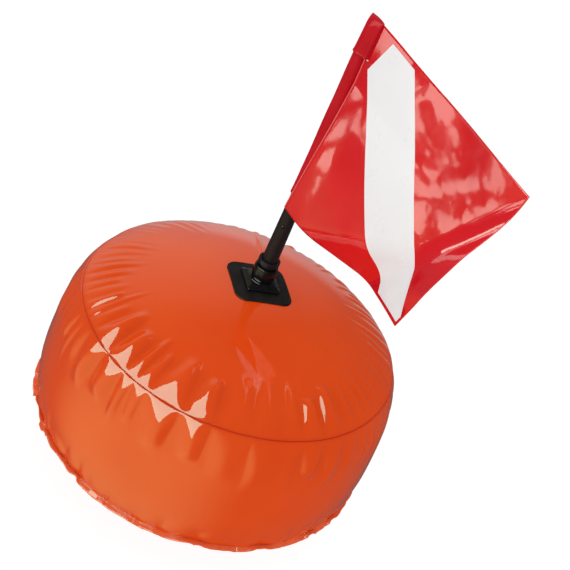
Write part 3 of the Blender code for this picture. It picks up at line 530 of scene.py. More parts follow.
def tube_material():
    """Extruded black plastic tube: fine draw lines along its length."""
    made = new_material("mast_tube_black", (0.013, 0.009, 0.010), 0.34, IOR=1.5, Specular_IOR_Level=0.13)
    lines = noise(made, 260.0, 4.0, 0.0, (1, 1, 0.03))
    cloud = ramp(made, noise(made, 60.0, 4.0), *NOISE_SPAN)
    mottle(made, cloud, ((0.009, 0.006, 0.007), (0.017, 0.011, 0.013)), lines, (0.28, 0.44))
    bump(made, [(lines, 0.18, 0.00012), (noise(made, 2200.0, 2.0), 0.10, 0.00004)])
    return made


def clear_material():
    """Soft milky vinyl of the valve."""
    made = new_material("valve_soft_vinyl", (0.80, 0.80, 0.76), 0.22, IOR=1.47, Subsurface_Weight=0.25,
                        Subsurface_Scale=0.002)
    cloud = ramp(made, noise(made, 160.0, 4.0), *NOISE_SPAN)
    mottle(made, cloud, ((0.74, 0.74, 0.70), (0.86, 0.86, 0.83)), noise(made, 420.0, 3.0), (0.16, 0.32))
    bump(made, [(noise(made, 1500.0, 2.0), 0.12, 0.00005)])
    return made


def steel_material():
    """Polished steel with fine drawn lines."""
    made = new_material("ring_steel", (0.62, 0.62, 0.63), 0.22, Metallic=1.0)
    lines = noise(made, 900.0, 3.0, 0.3)
    mottle(made, noise(made, 140.0), ((0.50, 0.50, 0.51), (0.68, 0.68, 0.69)), lines, (0.14, 0.34))
    bump(made, [(lines, 0.10, 0.00004)])
    return made


def rubber_material():
    """Dull black rubber."""
    made = new_material("seal_rubber_black", (0.020, 0.020, 0.020), 0.6, IOR=1.5)
    shades = ((0.014, 0.014, 0.014), (0.03, 0.03, 0.03))
    mottle(made, noise(made, 200.0), shades, noise(made, 400.0), (0.5, 0.75))
    bump(made, [(noise(made, 1600.0), 0.2, 0.00008)])
    return made


def webbing_material():
    """Black woven strap: warp ribs crossed by weft."""
    made = new_material("strap_webbing", (0.035, 0.035, 0.038), 0.8, IOR=1.45, Sheen_Weight=0.3)
    waves = []
    for index, (axis, scale, distortion) in enumerate((("X", 320.0, 0.6), ("Z", 260.0, 0.8))):
        wave = add_node(made, "ShaderNodeTexWave", [("Vector", object_place(made))], Scale=scale,
                        bands_direction=axis, Distortion=distortion)
        waves.append((index, wave.outputs["Fac"]))
    weave = add_node(made, "ShaderNodeMath", waves, operation="MULTIPLY").outputs[0]
    shade = ramp(made, weave, 0, 1)
    drive(made, "Base Color", blend_colours(made, shade, (0.012, 0.012, 0.014), (0.060, 0.060, 0.066)))
    bump(made, [(shade, 0.7, 0.0003)])
    return made


# Mesh helpers


def link(data, materials, thickness=0):
    """Put a mesh into the scene as a piece. A film gets its thickness, half on each side."""
    item = bpy.data.objects.new(data.name, data)
    bpy.context.scene.collection.objects.link(item)
    for material in materials:
        data.materials.append(material)
    if thickness:
        solid = item.modifiers.new("film", "SOLIDIFY")
        solid.thickness = thickness
        solid.offset = 0
        solid.use_even_offset = False
    return item


def grid_data(name, points, wrap=True):
    """Mesh of a grid of points, given as rows of columns; wrap joins the last column to the first."""
    points = np.asarray(points)
    rows, columns = points.shape[:2]
    index = np.arange(rows * columns).reshape(rows, columns)
    if wrap:
        index = np.concatenate([index, index[:, :1]], axis=1)
    corners = (index[:-1, :-1], index[:-1, 1:], index[1:, 1:], index[1:, :-1])
    faces = np.stack([corner.ravel() for corner in corners], axis=1)
    data = bpy.data.meshes.new(name)
    data.from_pydata(points.reshape(-1, 3).tolist(), [], faces.tolist())
    data.shade_smooth()
    return data


def store(data, name, values):
    """Keep a value for each row of a grid's points, for its material."""
    layer = data.attributes.new(name, "FLOAT", "POINT")
    values = np.asarray(values, np.float32)
    layer.data.foreach_set("value", np.repeat(values, len(data.vertices) // len(values)))


def opened(data):
    """A mesh opened for changes."""
    mesh = bmesh.new()
    mesh.from_mesh(data)
    return mesh


def keep(mesh, data):
    """Keep the changes to an opened mesh, and close it."""
    mesh.to_mesh(data)
    mesh.free()


def close_ends(data, place=Matrix()):
    """Fill the open ends of a tube, turn its faces out and move it."""
    mesh = opened(data)
    bmesh.ops.holes_fill(mesh, edges=mesh.edges)
    bmesh.ops.recalc_face_normals(mesh, faces=mesh.faces)
    mesh.transform(place)
    keep(mesh, data)


def weld_close(item):
    """Merge doubled points and turn the faces out."""
    mesh = opened(item.data)
    bmesh.ops.remove_doubles(mesh, verts=mesh.verts, dist=1e-7)
    bmesh.ops.recalc_face_normals(mesh, faces=mesh.faces)
    keep(mesh, item.data)


def dress(item, body, slot, *nodes):
    """A piece rides on a body and may stand for CAD nodes, which it hides. Its slot is not used."""
    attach(item, body)
    if nodes:
        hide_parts(*nodes)
    return item


def fillet(corners, radius, steps=4):
    """An outline whose inner corners are rounded off as far as their sides allow."""
    points = [Vector(corner) for corner in corners]
    made = [points[0]]
    for before, corner, after in zip(points, points[1:], points[2:]):
        back = before - corner
        on = after - corner
        reach = min(radius, back.length * 0.45, on.length * 0.45)
        start = corner + back.normalized() * reach
        end = corner + on.normalized() * reach
        for share in spaced(steps):
            first = start.lerp(corner, share)
            second = corner.lerp(end, share)
            made.append(first.lerp(second, share))
    made.append(points[-1])
    return made


def lathe(name, outline, segments, materials, place=None, closed=True):
    """Turn an outline of (radius, height) about Z, then move it. An open one starts and ends on the axis."""
    mesh = bmesh.new()
    points = [mesh.verts.new((radius, 0, height)) for radius, height in outline]
    edges = [mesh.edges.new(pair) for pair in zip(points, points[1:])]
    if closed:
        edges.append(mesh.edges.new((points[-1], points[0])))
    bmesh.ops.spin(mesh, geom=points + edges, cent=(0, 0, 0), axis=(0, 0, 1), angle=math.tau,
                   steps=segments, use_merge=True, use_duplicate=False)
    bmesh.ops.remove_doubles(mesh, verts=mesh.verts, dist=1e-6)
    bmesh.ops.recalc_face_normals(mesh, faces=mesh.faces)
    if place is not None:
        mesh.transform(place)
    data = bpy.data.meshes.new(name)
    keep(mesh, data)
    data.shade_smooth()
    data.set_sharp_from_angle(angle=SHARP_EDGE)
    return link(data, materials)


# Film panels


def crown_height(radius):
    """Mid-surface height of the top panel."""
    return CROWN_Z - CROWN_RISE * (radius / UPPER_SEAM_RADIUS) ** CROWN_POWER


def band_radius(share):
    """Mid-surface radius of the side band, from its lower seam (0) to its upper seam (1)."""
    straight = LOWER_SEAM_RADIUS + (UPPER_SEAM_RADIUS - LOWER_SEAM_RADIUS) * share
    return straight + BAND_BULGE * (1 - np.abs(2 * share - 1) ** BAND_POWER)


def roll(distance, crest, reach):
    """Share of a roll's height at a distance from the seam: steep at it, then a long fade."""
    near = np.clip(distance / crest, 0, 1)
    fade = 0.5 + 0.5 * np.cos(np.pi * np.clip((distance - crest) / (reach - crest), 0, 1))
    return near * (2 - near) * fade


class Gathers:
    """Creases round a welded seam, with the lobes of film that stand between them."""

    def __init__(self, angles, radius, seed):
        draw = np.random.default_rng(seed)
        self.angles = np.asarray(angles)
        self.count = len(self.angles)
        following = np.append(self.angles[1:], self.angles[0] + math.tau)
        self.widths = (following - self.angles) * radius
        self.heights = draw.uniform(*LOBE_HEIGHTS, self.count)
        self.lengths = draw.uniform(*LOBE_LENGTHS, self.count)
        self.skews = draw.uniform(*LOBE_SKEWS, self.count)
        self.bends = np.clip(draw.normal(0, 1, self.count), -LARGEST_BEND, LARGEST_BEND)
        self.lifts = draw.uniform(-1, 1, self.count)

    def columns(self):
        """Lobe and share across it for each column of a grid, closer together beside the creases."""
        across = (1 - np.cos(np.pi * np.arange(LOBE_COLUMNS) / LOBE_COLUMNS)) / 2
        lobe = np.repeat(np.arange(self.count), LOBE_COLUMNS)
        return lobe, np.tile(across, self.count)

    def azimuths(self, distance, bend):
        """Where each column runs, for rows at a distance from the seam: creases wander as they go in."""
        lobe, share = self.columns()
        angles = np.append(self.angles, self.angles[0] + math.tau)
        bends = np.append(self.bends, self.bends[0]) * bend
        wander = smooth_step(distance[:, None], 0, BEND_REACH)
        start = angles[lobe] + bends[lobe] * wander
        end = angles[lobe + 1] + bends[lobe + 1] * wander
        return mix(start, end, share)

    def relief(self, distance, steepness, crest, length, slack, reach_gain):
        """Height of the pillows for rows at a distance from the seam, less the sink of the creases."""
        lobe, share = self.columns()
        distance = distance[:, None]
        height = np.minimum(self.widths, WIDEST_LOBE) * steepness * self.heights * slack(self.angles)
        reach = length * self.lengths * reach_gain(self.angles)
        tall = height * roll(distance, crest, reach)
        power = mix(*LOBE_POWERS, smooth_step(distance, *LOBE_POWER_RANGE))
        leaned = np.clip((share - VALLEY) / (1 - 2 * VALLEY), 0, 1) ** self.skews[lobe]
        swell = (4 * leaned * (1 - leaned))[None, :] ** power
        floor = (tall + np.roll(tall, 1, axis=1)) / 2
        floors = np.concatenate([floor, floor[:, :1]], axis=1)
        sunk = mix(floors[:, lobe], floors[:, lobe + 1], share)
        return tall[:, lobe] * swell - CREASE_SINK * sunk


def crease_angles(seed):
    """Azimuths of the creases: those that the photo shows, then uneven ones round the rest."""
    draw = np.random.default_rng(seed)
    seen = np.radians(SEEN_CREASES)
    span = seen[0] + math.tau - seen[-1]
    steps = 1 + LOBE_WIDTH_SPREAD * draw.random(HIDDEN_LOBES)
    rest = seen[-1] + span * np.cumsum(steps) / steps.sum()
    return np.concatenate([seen, rest[:-1]])


def lower_angles(upper, seed):
    """Azimuths of the lower seam's creases, each near one of the upper seam's."""
    draw = np.random.default_rng(seed)
    near = mix(upper, upper[0] + circle(len(upper)), LOWER_EVENNESS)
    return near + draw.uniform(-LOWER_DRIFT, LOWER_DRIFT, len(upper)) * math.tau / len(upper)


def side_slack(angles):
    """How loose the film is round the float: tighter at the left and right of the photo, and behind."""
    rear = smooth_step(np.sin(angles), 0.0, 0.5)
    return (1 - SIDE_TIGHTNESS * np.cos(angles + SIDE_TURN) ** 2) * (1 - REAR_TIGHTNESS * rear)


def side_reach(angles):
    """How far the creases run in: farther at the left and right of the photo."""
    least, gain = SIDE_REACH
    return least + gain * np.cos(angles + SIDE_TURN) ** 2


def even_slack(angles):
    """The same looseness all round."""
    return np.ones_like(angles)


def slow_waves(azimuth, level, seed, size):
    """Broad unevenness of a film: a few long waves round and across it."""
    draw = np.random.default_rng(seed)
    total = 0
    for turns in (2, 3, 5, 7):
        phase = draw.uniform(0, math.tau)
        slant = draw.uniform(-12, 12)
        pitch = draw.uniform(10, 24)
        wave = np.sin(turns * azimuth + slant * level + phase)
        total = total + wave * np.cos(pitch * level + 2 * phase) / turns ** 0.6
    return total * size


def fine_waves(azimuth, level, seed, size):
    """Small lengthwise ripples beside a seam."""
    draw = np.random.default_rng(seed)
    total = 0
    for turns in (97, 131, 173, 211):
        phase = draw.uniform(0, math.tau)
        total = total + np.sin(turns * azimuth + 40 * level + phase) * np.sin(turns / 7 * azimuth + 3 * phase)
    return total * size / 2


def film_points(radius, height, normal, azimuth, lift):
    """Points of a film: a profile of rows, lifted along its normals and turned to each column's azimuth."""
    out = radius[:, None] + normal[:, 0][:, None] * lift
    up = height[:, None] + normal[:, 1][:, None] * lift
    return level_points(out, azimuth, up)


def profile_normals(radius, height):
    """Unit normals of a profile of rows, on its left side as it runs."""
    along = unit(np.stack([np.gradient(radius), np.gradient(height)], axis=1))
    return np.stack([-along[:, 1], along[:, 0]], axis=1)


def seam_normals(normal, distance, seam):
    """Normals that turn to the seam's own direction close to it, so that two films meet there."""
    share = np.exp(-distance / SEAM_BLEND)[:, None]
    return unit(normal * (1 - share) + np.asarray(seam) * share)


def groove(distance):
    """Depth of the seam's groove at a distance from it."""
    return GROOVE_DEPTH * np.exp(-distance[:, None] / GROOVE_REACH)


def seam_drift(azimuth, distance):
    """Small wander of the seam itself, which both of its films share."""
    draw = np.random.default_rng(SEED + 8)
    total = 0
    for turns in (5, 9, 14, 22, 31):
        total = total + np.sin(turns * azimuth + draw.uniform(0, math.tau)) / turns ** 0.5
    tight = 0.35 + 0.65 * np.cos(azimuth) ** 2
    lift = SEAM_WANDER * total * tight * np.exp(-distance[:, None] / SEAM_WANDER_REACH)
    return level_points(0.35, azimuth, 1.0) * lift[..., None]


def inner_flange(seam, azimuth):
    """Two rows of a film that turn in under its seam."""
    level, rise = SEAM_IN
    inward = level_points(level, azimuth, rise)
    return [seam + inward * depth for depth in (INNER_WELD_WIDTH, INNER_WELD_WIDTH / 2)]


def add_top_film(gathers, material):
    """Top panel: domed, puckered round its rim, with its weld turned in under the seam."""
    inset = (UPPER_SEAM_RADIUS - CUP_HOLE_RADIUS) * spaced(TOP_ROWS) ** TOP_CROWDING
    radius = UPPER_SEAM_RADIUS - inset
    height = crown_height(radius)
    height[0] = UPPER_WELD_Z + SEAM_RISE
    normal = seam_normals(-profile_normals(radius, height), inset, SEAM_OUT)
    azimuth = gathers.azimuths(inset, UPPER_BEND)
    middle = smooth_step(radius, *TOP_CALM)[:, None]
    lift = gathers.relief(inset, TOP_STEEPNESS, TOP_CREST, TOP_LENGTH, side_slack, side_reach)
    lift = lift + TOP_ROLL * roll(inset, TOP_CREST, TOP_LENGTH)[:, None]
    slow = slow_waves(azimuth, radius[:, None], SEED + 1, TOP_SLOW_WAVES)
    fine = fine_waves(azimuth, radius[:, None], SEED + 2, TOP_FINE_WAVES)
    lift = lift + slow * smooth_step(inset, 0, SLOW_WAVE_START)[:, None]
    lift = lift + fine * np.exp(-inset / TOP_FINE_REACH)[:, None]
    lift = lift * middle - groove(inset)
    points = film_points(radius, height, normal, azimuth, lift) + seam_drift(azimuth, inset)
    data = grid_data("top_film", np.concatenate([inner_flange(points[0], azimuth[0]), points]))
    store(data, "weld", np.concatenate([[1, 1], np.exp(-inset / WELD_MARK)]))
    return dress(link(data, [material], FILM), "float", "orange_film", "top_panel")


def fin_ruffle(gathers):
    """How far the lower fin waves up or down at its rim, for each column."""
    lobe, share = gathers.columns()
    lifts = np.append(gathers.lifts, gathers.lifts[0])
    wave = mix(lifts[lobe], lifts[lobe + 1], smooth_step(share, 0, 1))
    return wave + 0.22 * np.sin(math.tau * share + 5 * gathers.lifts[lobe])


def away_from_tab(azimuth):
    """1 round the float, and 0 where the strap tab grips the fin."""
    return smooth_step(angle_between(azimuth, TOW_TURN), *TAB_CLEAR)


def away_from_valve(azimuth, height):
    """1 on the band, and 0 under the valve's flange."""
    aside = angle_between(azimuth, VALVE_TURN) * LOWER_SEAM_RADIUS
    return smooth_step(np.hypot(aside, height - VALVE_Z), *VALVE_CLEAR)


def fin_welds_and_painted_light(distance):
    """Weld marks of a film at a distance from the lower seam, and its painted light: the paler colour that
    stands in for light shining through the fin.
    """
    return FIN_WELD_MARK * np.exp(-distance / WELD_MARK), FIN_PAINTED_LIGHT * np.exp(-distance / FIN_PAINTED_LIGHT_REACH)


def add_band_film(upper, lower, material):
    """Side band: puckered below the top seam and above the lower fin, smooth between."""
    shares = 1 - spaced(BAND_ROWS)
    shares = 0.5 + 0.5 * np.sign(shares - 0.5) * np.abs(2 * shares - 1) ** BAND_CROWDING
    from_top = (1 - shares) * BAND_HEIGHT
    from_fin = shares * BAND_HEIGHT
    radius = band_radius(shares)
    height = BASE_RISE + BAND_HEIGHT * shares
    height[0] -= SEAM_RISE
    height[-1] += WELD_STEP
    normal = seam_normals(profile_normals(radius, height), from_top, SEAM_OUT)
    normal = seam_normals(normal, from_fin, (1, 0))
    turn = smooth_step(shares, 0.25, 0.75)[:, None]
    azimuth = mix(lower.azimuths(from_fin, LOWER_BEND), upper.azimuths(from_top, UPPER_BEND), turn)
    lift = upper.relief(from_top, BAND_STEEPNESS, BAND_CREST, BAND_LENGTH, side_slack, side_reach)
    lift = lift + BAND_ROLL * roll(from_top, BAND_CREST, BAND_LENGTH)[:, None]
    lift = lift + lower.relief(from_fin, FIN_STEEPNESS, FIN_CREST, FIN_LENGTH, even_slack, even_slack)
    slow = slow_waves(azimuth, shares[:, None] * 0.15, SEED + 3, BAND_SLOW_WAVES)
    fine = fine_waves(azimuth, radius[:, None], SEED + 4, BAND_FINE_WAVES)
    from_seam = np.minimum(from_top, from_fin)
    lift = lift + slow * smooth_step(from_seam, 0, SLOW_WAVE_START)[:, None]
    lift = lift + fine * np.exp(-from_fin / BAND_FINE_REACH)[:, None]
    lift = lift * away_from_valve(azimuth, height[:, None]) - groove(from_top)
    points = film_points(radius, height, normal, azimuth, lift) + seam_drift(azimuth, from_top)
    inner = inner_flange(points[0], azimuth[0])
    waves = fin_ruffle(lower) * away_from_tab(azimuth[-1]) * FIN_RUFFLE
    points[:, :, 2] += smooth_step(-from_fin, -RUFFLE_REACH, 0)[:, None] * waves * SEAM_RUFFLE_SHARE
    gathered = 1 - FIN_GATHER * np.abs(waves / FIN_RUFFLE)
    rim = [points[-1]]
    for share in spaced(RIM_ROWS)[1:]:
        reach = OUTER_WELD_WIDTH * share * gathered
        rim.append(points[-1] + level_points(reach, azimuth[-1], waves * RIM_RUFFLE_SHARE * share))
    data = grid_data("band_film", np.concatenate([inner, points, rim[1:]]))
    weld, pale = fin_welds_and_painted_light(from_fin)
    weld = weld + np.exp(-from_top / WELD_MARK)
    store(data, "weld", np.concatenate([[1, 1], weld, [RIM_WELD_MARK] * RIM_ROWS]))
    # The fin's painted light: full on the rim rows, fading up from the lower seam
    store(data, "fin", np.concatenate([[0, 0], pale, [1] * RIM_ROWS]))
    open_valve_hole(data)
    return dress(link(data, [material], FILM), "float", "orange_film", "side_band"), np.array(rim)


def valve_place():
    """The valve's seat half way up the band, its outward direction and the matrix that carries +Z to it."""
    lean = math.atan2(LOWER_SEAM_RADIUS - UPPER_SEAM_RADIUS, BAND_HEIGHT)
    level = Vector((math.cos(VALVE_TURN), math.sin(VALVE_TURN), 0))
    out = level * math.cos(lean) + Vector((0, 0, math.sin(lean)))
    middle = level * float(band_radius(0.5))
    middle.z = VALVE_Z
    seat = middle + out * (FILM / 2 + GAP)
    return seat, out, axis_place(seat, out)


def open_valve_hole(data):
    """Take the film away under the valve's flange."""
    seat, out, _ = valve_place()
    mesh = opened(data)
    found = []
    for face in mesh.faces:
        apart = face.calc_center_median() - seat
        aside = (apart - out * apart.dot(out)).length
        if aside < VALVE_HOLE_RADIUS and apart.length < VALVE_HOLE_DEPTH:
            found.append(face)
    bmesh.ops.delete(mesh, geom=found, context="FACES")
    keep(mesh, data)


def add_bottom_film(lower, rim, material):
    """Bottom panel: flat where it rests, rising to the fin that it shares with the band."""
    share = 1 - spaced(BOTTOM_ROWS) ** BOTTOM_CROWDING
    radius = REST_RADIUS + (LOWER_SEAM_RADIUS - REST_RADIUS) * share
    height = FILM / 2 + (BASE_RISE - WELD_STEP - FILM / 2) * share ** BASE_POWER
    distance = LOWER_SEAM_RADIUS - radius
    normal = seam_normals(profile_normals(radius, height), distance, (1, 0))
    azimuth = lower.azimuths(distance, 0)
    lift = lower.relief(distance, FIN_STEEPNESS, FIN_CREST, FIN_LENGTH, even_slack, even_slack)
    lift = lift * smooth_step(radius, *BOTTOM_CALM)[:, None]
    points = film_points(radius, height, normal, azimuth, lift)
    points[:, :, 2] = np.maximum(points[:, :, 2], FILM / 2)
    rim = rim - (0, 0, 2 * WELD_STEP)
    points = points + (rim[0] - points[0]) * np.exp(-distance / RIM_BLEND)[:, None, None]
    flat = [level_points(reach, azimuth[0], FILM / 2) for reach in BOTTOM_FLAT_RADII]
    data = grid_data("bottom_film", np.concatenate([rim[:0:-1], points, flat]))
    weld, pale = fin_welds_and_painted_light(distance)
    store(data, "weld", np.concatenate([[RIM_WELD_MARK] * RIM_ROWS, weld, [0] * len(flat)]))
    # The fin's painted light: full on the rim rows, fading in from the lower seam
    store(data, "fin", np.concatenate([[1] * RIM_ROWS, pale, [0] * len(flat)]))
    return dress(link(data, [material], FILM), "float", "orange_film", "bottom_panel")


def add_float_films():
    """The three panels, which share their creases where they meet."""
    film = film_material()
    angles = crease_angles(SEED)
    upper = Gathers(angles, UPPER_SEAM_RADIUS, UPPER_SEED)
    lower = Gathers(lower_angles(angles, SEED + 6), LOWER_SEAM_RADIUS, SEED + 7)
    top = add_top_film(upper, film)
    band, rim = add_band_film(upper, lower, film)
    return film, [top, band, add_bottom_film(lower, rim, film)]


# Patch and socket


def square_reach(angles, side, corner):
    """Distances from the centre to the edge of a rounded square, along angles."""
    wide = np.maximum(np.abs(np.cos(angles)), np.abs(np.sin(angles)))
    narrow = np.minimum(np.abs(np.cos(angles)), np.abs(np.sin(angles)))
    straight = side / 2 / wide
    centre = side / 2 - corner
    lean = centre * (wide + narrow)
    rounded = lean + np.sqrt(np.maximum(lean * lean - 2 * centre * centre + corner * corner, 0.0))
    return np.where(straight * narrow <= centre, straight, rounded)


def close_data(name, rings):
    """Closed mesh of rings that run out over a body and back under it."""
    return grid_data(name, [*rings, rings[0]])


def add_patch(material):
    """Square patch on the crown: soft rounded rim and a pressed weld line just inside it."""
    angles = circle(144)
    reach = square_reach(angles, PATCH_SIDE, PATCH_CORNER)
    layers = []
    for share in spaced(26):
        radius = mix(CUP_HOLE_RADIUS, reach, share)
        from_rim = reach - radius
        top = PATCH_THICKNESS - PATCH_RIM * np.exp(-from_rim / PATCH_RIM)
        pressed = np.exp(-((from_rim - PATCH_PRESS_INSET) / PATCH_PRESS_WIDTH) ** 2)
        wave = np.maximum(PATCH_WAVE * np.sin(3 * angles + 1) * share ** 3, PATCH_WAVE_FLOOR)
        layers.append((radius, top - PATCH_PRESS_DEPTH * pressed + wave))
    for share in spaced(6)[::-1]:
        layers.append((mix(CUP_HOLE_RADIUS, reach, share), 0))
    rings = []
    for radius, rise in layers:
        height = crown_height(radius) + FILM / 2 + GAP + rise
        rings.append(level_points(radius, angles + PATCH_TURN, height))
    patch = link(close_data("patch_sheet", rings), [material])
    return dress(patch, "float", "patch_vinyl", "mast_patch")


def base_rings(outline, corner=None):
    """Level rings of the base: circles of (radius, height), or rounded squares of (side, height)."""
    angles = circle(BASE_COLUMNS)
    rings = []
    for size, height in outline:
        reach = square_reach(angles, size, corner) if corner else size
        rings.append(level_points(reach, angles + PATCH_TURN, height))
    return rings


def add_base(material):
    """Moulded plate with a chamfered rise, a disc, a helical thread and the blind cup below."""
    cup_floor = PLATE_Z - CUP_DEPTH
    cup_foot = cup_floor - CUP_FLOOR
    plate_top = PLATE_Z + PLATE_THICKNESS
    chamfer_top = plate_top + CHAMFER_HEIGHT
    top_side = PLATE_SIDE - 2 * CHAMFER_INSET
    soft = BASE_EDGE
    rings = base_rings(((CUP_RADIUS, cup_foot), (CUP_RADIUS, PLATE_Z)))
    rings += base_rings((
        (PLATE_SIDE - 2 * soft, PLATE_Z),
        (PLATE_SIDE, PLATE_Z + soft),
        (PLATE_SIDE, plate_top - soft),
        (PLATE_SIDE - soft, plate_top),
        (PLATE_SIDE - 4 * soft, plate_top + soft),
        (top_side + 2 * soft, chamfer_top - 2 * soft),
        (top_side + 0.5 * soft, chamfer_top - 0.4 * soft),
        (top_side - 2 * soft, chamfer_top),
    ), PLATE_CORNER)
    rings += base_rings((
        (DISC_RADIUS + soft, chamfer_top),
        (DISC_RADIUS, chamfer_top + soft),
        (DISC_RADIUS, STUB_Z - soft),
        (DISC_RADIUS - soft, STUB_Z),
        (STUB_RADIUS + soft, STUB_Z),
    ))
    rings += thread_rings()
    rings += base_rings((
        (STUB_RADIUS, STUB_TOP_Z - soft),
        (STUB_RADIUS - soft, STUB_TOP_Z),
        (BORE_RADIUS, STUB_TOP_Z),
        (BORE_RADIUS, cup_floor),
        (MIDDLE_HOLE, cup_floor),
        (MIDDLE_HOLE, cup_foot),
    ))
    data = close_data("base_moulding", rings)
    data.set_sharp_from_angle(angle=math.radians(50))
    return dress(link(data, [material]), "float", "socket_black", "mast_base")


def thread_rings():
    """Rings of a stub whose ridge climbs one pitch each turn."""
    angles = circle(BASE_COLUMNS)
    rings = []
    for share in spaced(60):
        height = STUB_Z + THREAD_PITCH / 2 + THREAD_PITCH * THREAD_TURNS * share
        phase = (height - STUB_Z) / THREAD_PITCH - angles / math.tau
        ridge = (0.5 + 0.5 * np.cos(math.tau * phase)) ** 1.3
        ends = min(1, share * 8, (1 - share) * 8)
        radius = STUB_RADIUS + THREAD_DEPTH * ridge * ends
        rings.append(level_points(radius, angles + PATCH_TURN, height))
    return rings


def add_nut(material):
    """Captive nut: grooved, with a lip turned in at its top."""
    groove_bottom = NUT_LIP_Z - NUT_GROOVE_WIDTH
    groove_radius = NUT_RADIUS - NUT_GROOVE_DEPTH
    outline = (
        (NUT_BORE_RADIUS, NUT_LIP_Z),
        (NUT_BORE_RADIUS, NUT_BOTTOM_Z),
        (NUT_RADIUS, NUT_BOTTOM_Z),
        (NUT_RADIUS, groove_bottom),
        (groove_radius, groove_bottom),
        (groove_radius, NUT_LIP_Z),
        (NUT_RADIUS, NUT_LIP_Z),
        (groove_radius, NUT_TOP_Z),
        (NUT_LIP_RADIUS, NUT_TOP_Z),
        (NUT_LIP_RADIUS, NUT_LIP_Z),
        (NUT_BORE_RADIUS, NUT_LIP_Z),
    )
    nut = lathe("nut_ring", fillet(outline, 0.0004)[:-1], 144, [material])
    return dress(nut, "nut", "socket_black", "socket_nut")


def add_collar(material):
    """Collar at the mast's foot: three fine rings under a rounded lip."""
    low = MAST_Z
    high = MAST_Z + COLLAR_HEIGHT
    rib = 0.0011
    outline = [(COLLAR_INNER_RADIUS, low), (COLLAR_RADIUS - 0.0006, low)]
    outline.append((COLLAR_RADIUS - 0.0004, low + 0.0004))
    for index in range(3):
        foot = low + 0.0005 + rib * index
        outline += [(COLLAR_RADIUS - 0.0005, foot), (COLLAR_RADIUS, foot + 0.35 * rib)]
        outline += [(COLLAR_RADIUS, foot + 0.65 * rib), (COLLAR_RADIUS - 0.0005, foot + rib)]
    outline += [(COLLAR_RADIUS, high - 0.0013), (COLLAR_RADIUS, high - 0.0003)]
    outline += [(COLLAR_RADIUS - 0.0004, high), (COLLAR_INNER_RADIUS + 0.0006, high)]
    outline.append((COLLAR_INNER_RADIUS, high - 0.0004))
    outline.append((COLLAR_INNER_RADIUS, low))
    collar = lathe("collar_ring", fillet(outline, 0.0002, 2)[:-1], 144, [material])
    return dress(collar, "mast_stem", "mast_black", "mast_collar")


def mast_radius(height):
    """Outer radius of the tapered mast at a height above the origin."""
    return mix(MAST_BASE_RADIUS, MAST_TIP_RADIUS, (height - MAST_Z) / (MAST_TOP_Z - MAST_Z))


def add_mast(material):
    """Tapered tube with its ends eased and the snap button's hole cut through."""
    rows = []
    for share in spaced(60):
        height = mix(MAST_Z, MAST_TOP_Z, share)
        rows.append((mast_radius(height) - 0.0002 * (share in (0, 1)), height))
    inside = [(radius - MAST_WALL, height) for radius, height in (rows[-1], rows[0])]
    tube = lathe("mast_tube", rows + inside, 96, [material])
    heading = Vector((math.cos(BUTTON_TURN), math.sin(BUTTON_TURN), 0))
    place = axis_place((0, 0, BUTTON_Z), heading)
    drill = [(0, 0.004), (BUTTON_HOLE_RADIUS, 0.004), (BUTTON_HOLE_RADIUS, 0.014), (0, 0.014)]
    cutter = lathe("hole_cutter", drill, 32, [material], place, closed=False)
    cut = tube.modifiers.new("button_hole", "BOOLEAN")
    cut.operation = "DIFFERENCE"
    cut.solver = "EXACT"
    cut.object = cutter
    settle(tube)
    bpy.data.objects.remove(cutter)
    dress(tube, "mast_stem", "mast_black", "mast")
    return place


def settle(item):
    """Keep what the modifiers make as the piece's own mesh."""
    bpy.context.view_layer.update()
    shaped = item.evaluated_get(bpy.context.evaluated_depsgraph_get())
    data = bpy.data.meshes.new_from_object(shaped)
    item.modifiers.clear()
    item.data = data
    data.shade_smooth()
    data.set_sharp_from_angle(angle=SHARP_EDGE)


def add_button(place, material):
    """Snap button: a domed head on a flanged stem."""
    shoulder = mast_radius(BUTTON_Z)
    flange_foot = BUTTON_FLANGE_TOP - BUTTON_FLANGE_THICKNESS
    outline = [(0, flange_foot), (BUTTON_FLANGE_RADIUS, flange_foot)]
    outline += [(BUTTON_FLANGE_RADIUS, BUTTON_FLANGE_TOP), (BUTTON_RADIUS, BUTTON_FLANGE_TOP)]
    outline.append((BUTTON_RADIUS, shoulder))
    for angle in math.pi / 2 * spaced(6):
        outline.append((BUTTON_RADIUS * math.cos(angle), shoulder + BUTTON_PROUD * math.sin(angle)))
    button = lathe("button_head", outline, 40, [material], place, closed=False)
    return dress(button, "button", "socket_black", "snap_button")


# Flag


def sleeve_inner(height):
    """Inner radius of the flag's sleeve at a height above the flag's lower edge."""
    return mast_radius(FLAG_Z + height) + SLEEVE_CLEARANCE + SLEEVE_TOP_CLEARANCE * height / FLAG_HEIGHT


def ridge_angle(height):
    """How far round the sleeve the hoist weld has wandered from the sheet's own direction."""
    return RIDGE_WRAP * np.maximum(0.0, 1 - height / RIDGE_STRAIGHT_HEIGHT)


def ridge_place(height):
    """Centre of the weld bead: distance along the sheet's direction, and to its front."""
    reach = sleeve_inner(height) + FLAG_FILM + GAP + WELD_BEAD_RADIUS
    return reach * np.cos(ridge_angle(height)), reach * np.sin(ridge_angle(height))


def sheet_start(height):
    """Flat place of the sheet's hoist edge."""
    along = ridge_place(height)[0] + WELD_BEAD_RADIUS + GAP
    share = np.clip((height - POCKET_MOUTH + POCKET_RAMP) / POCKET_RAMP, 0, 1)
    edge = along + (POCKET_EDGE + GAP - along) * share
    return (edge + (FLAG_HEIGHT - height) * math.sin(FLAG_SWING)) / math.cos(FLAG_SWING)


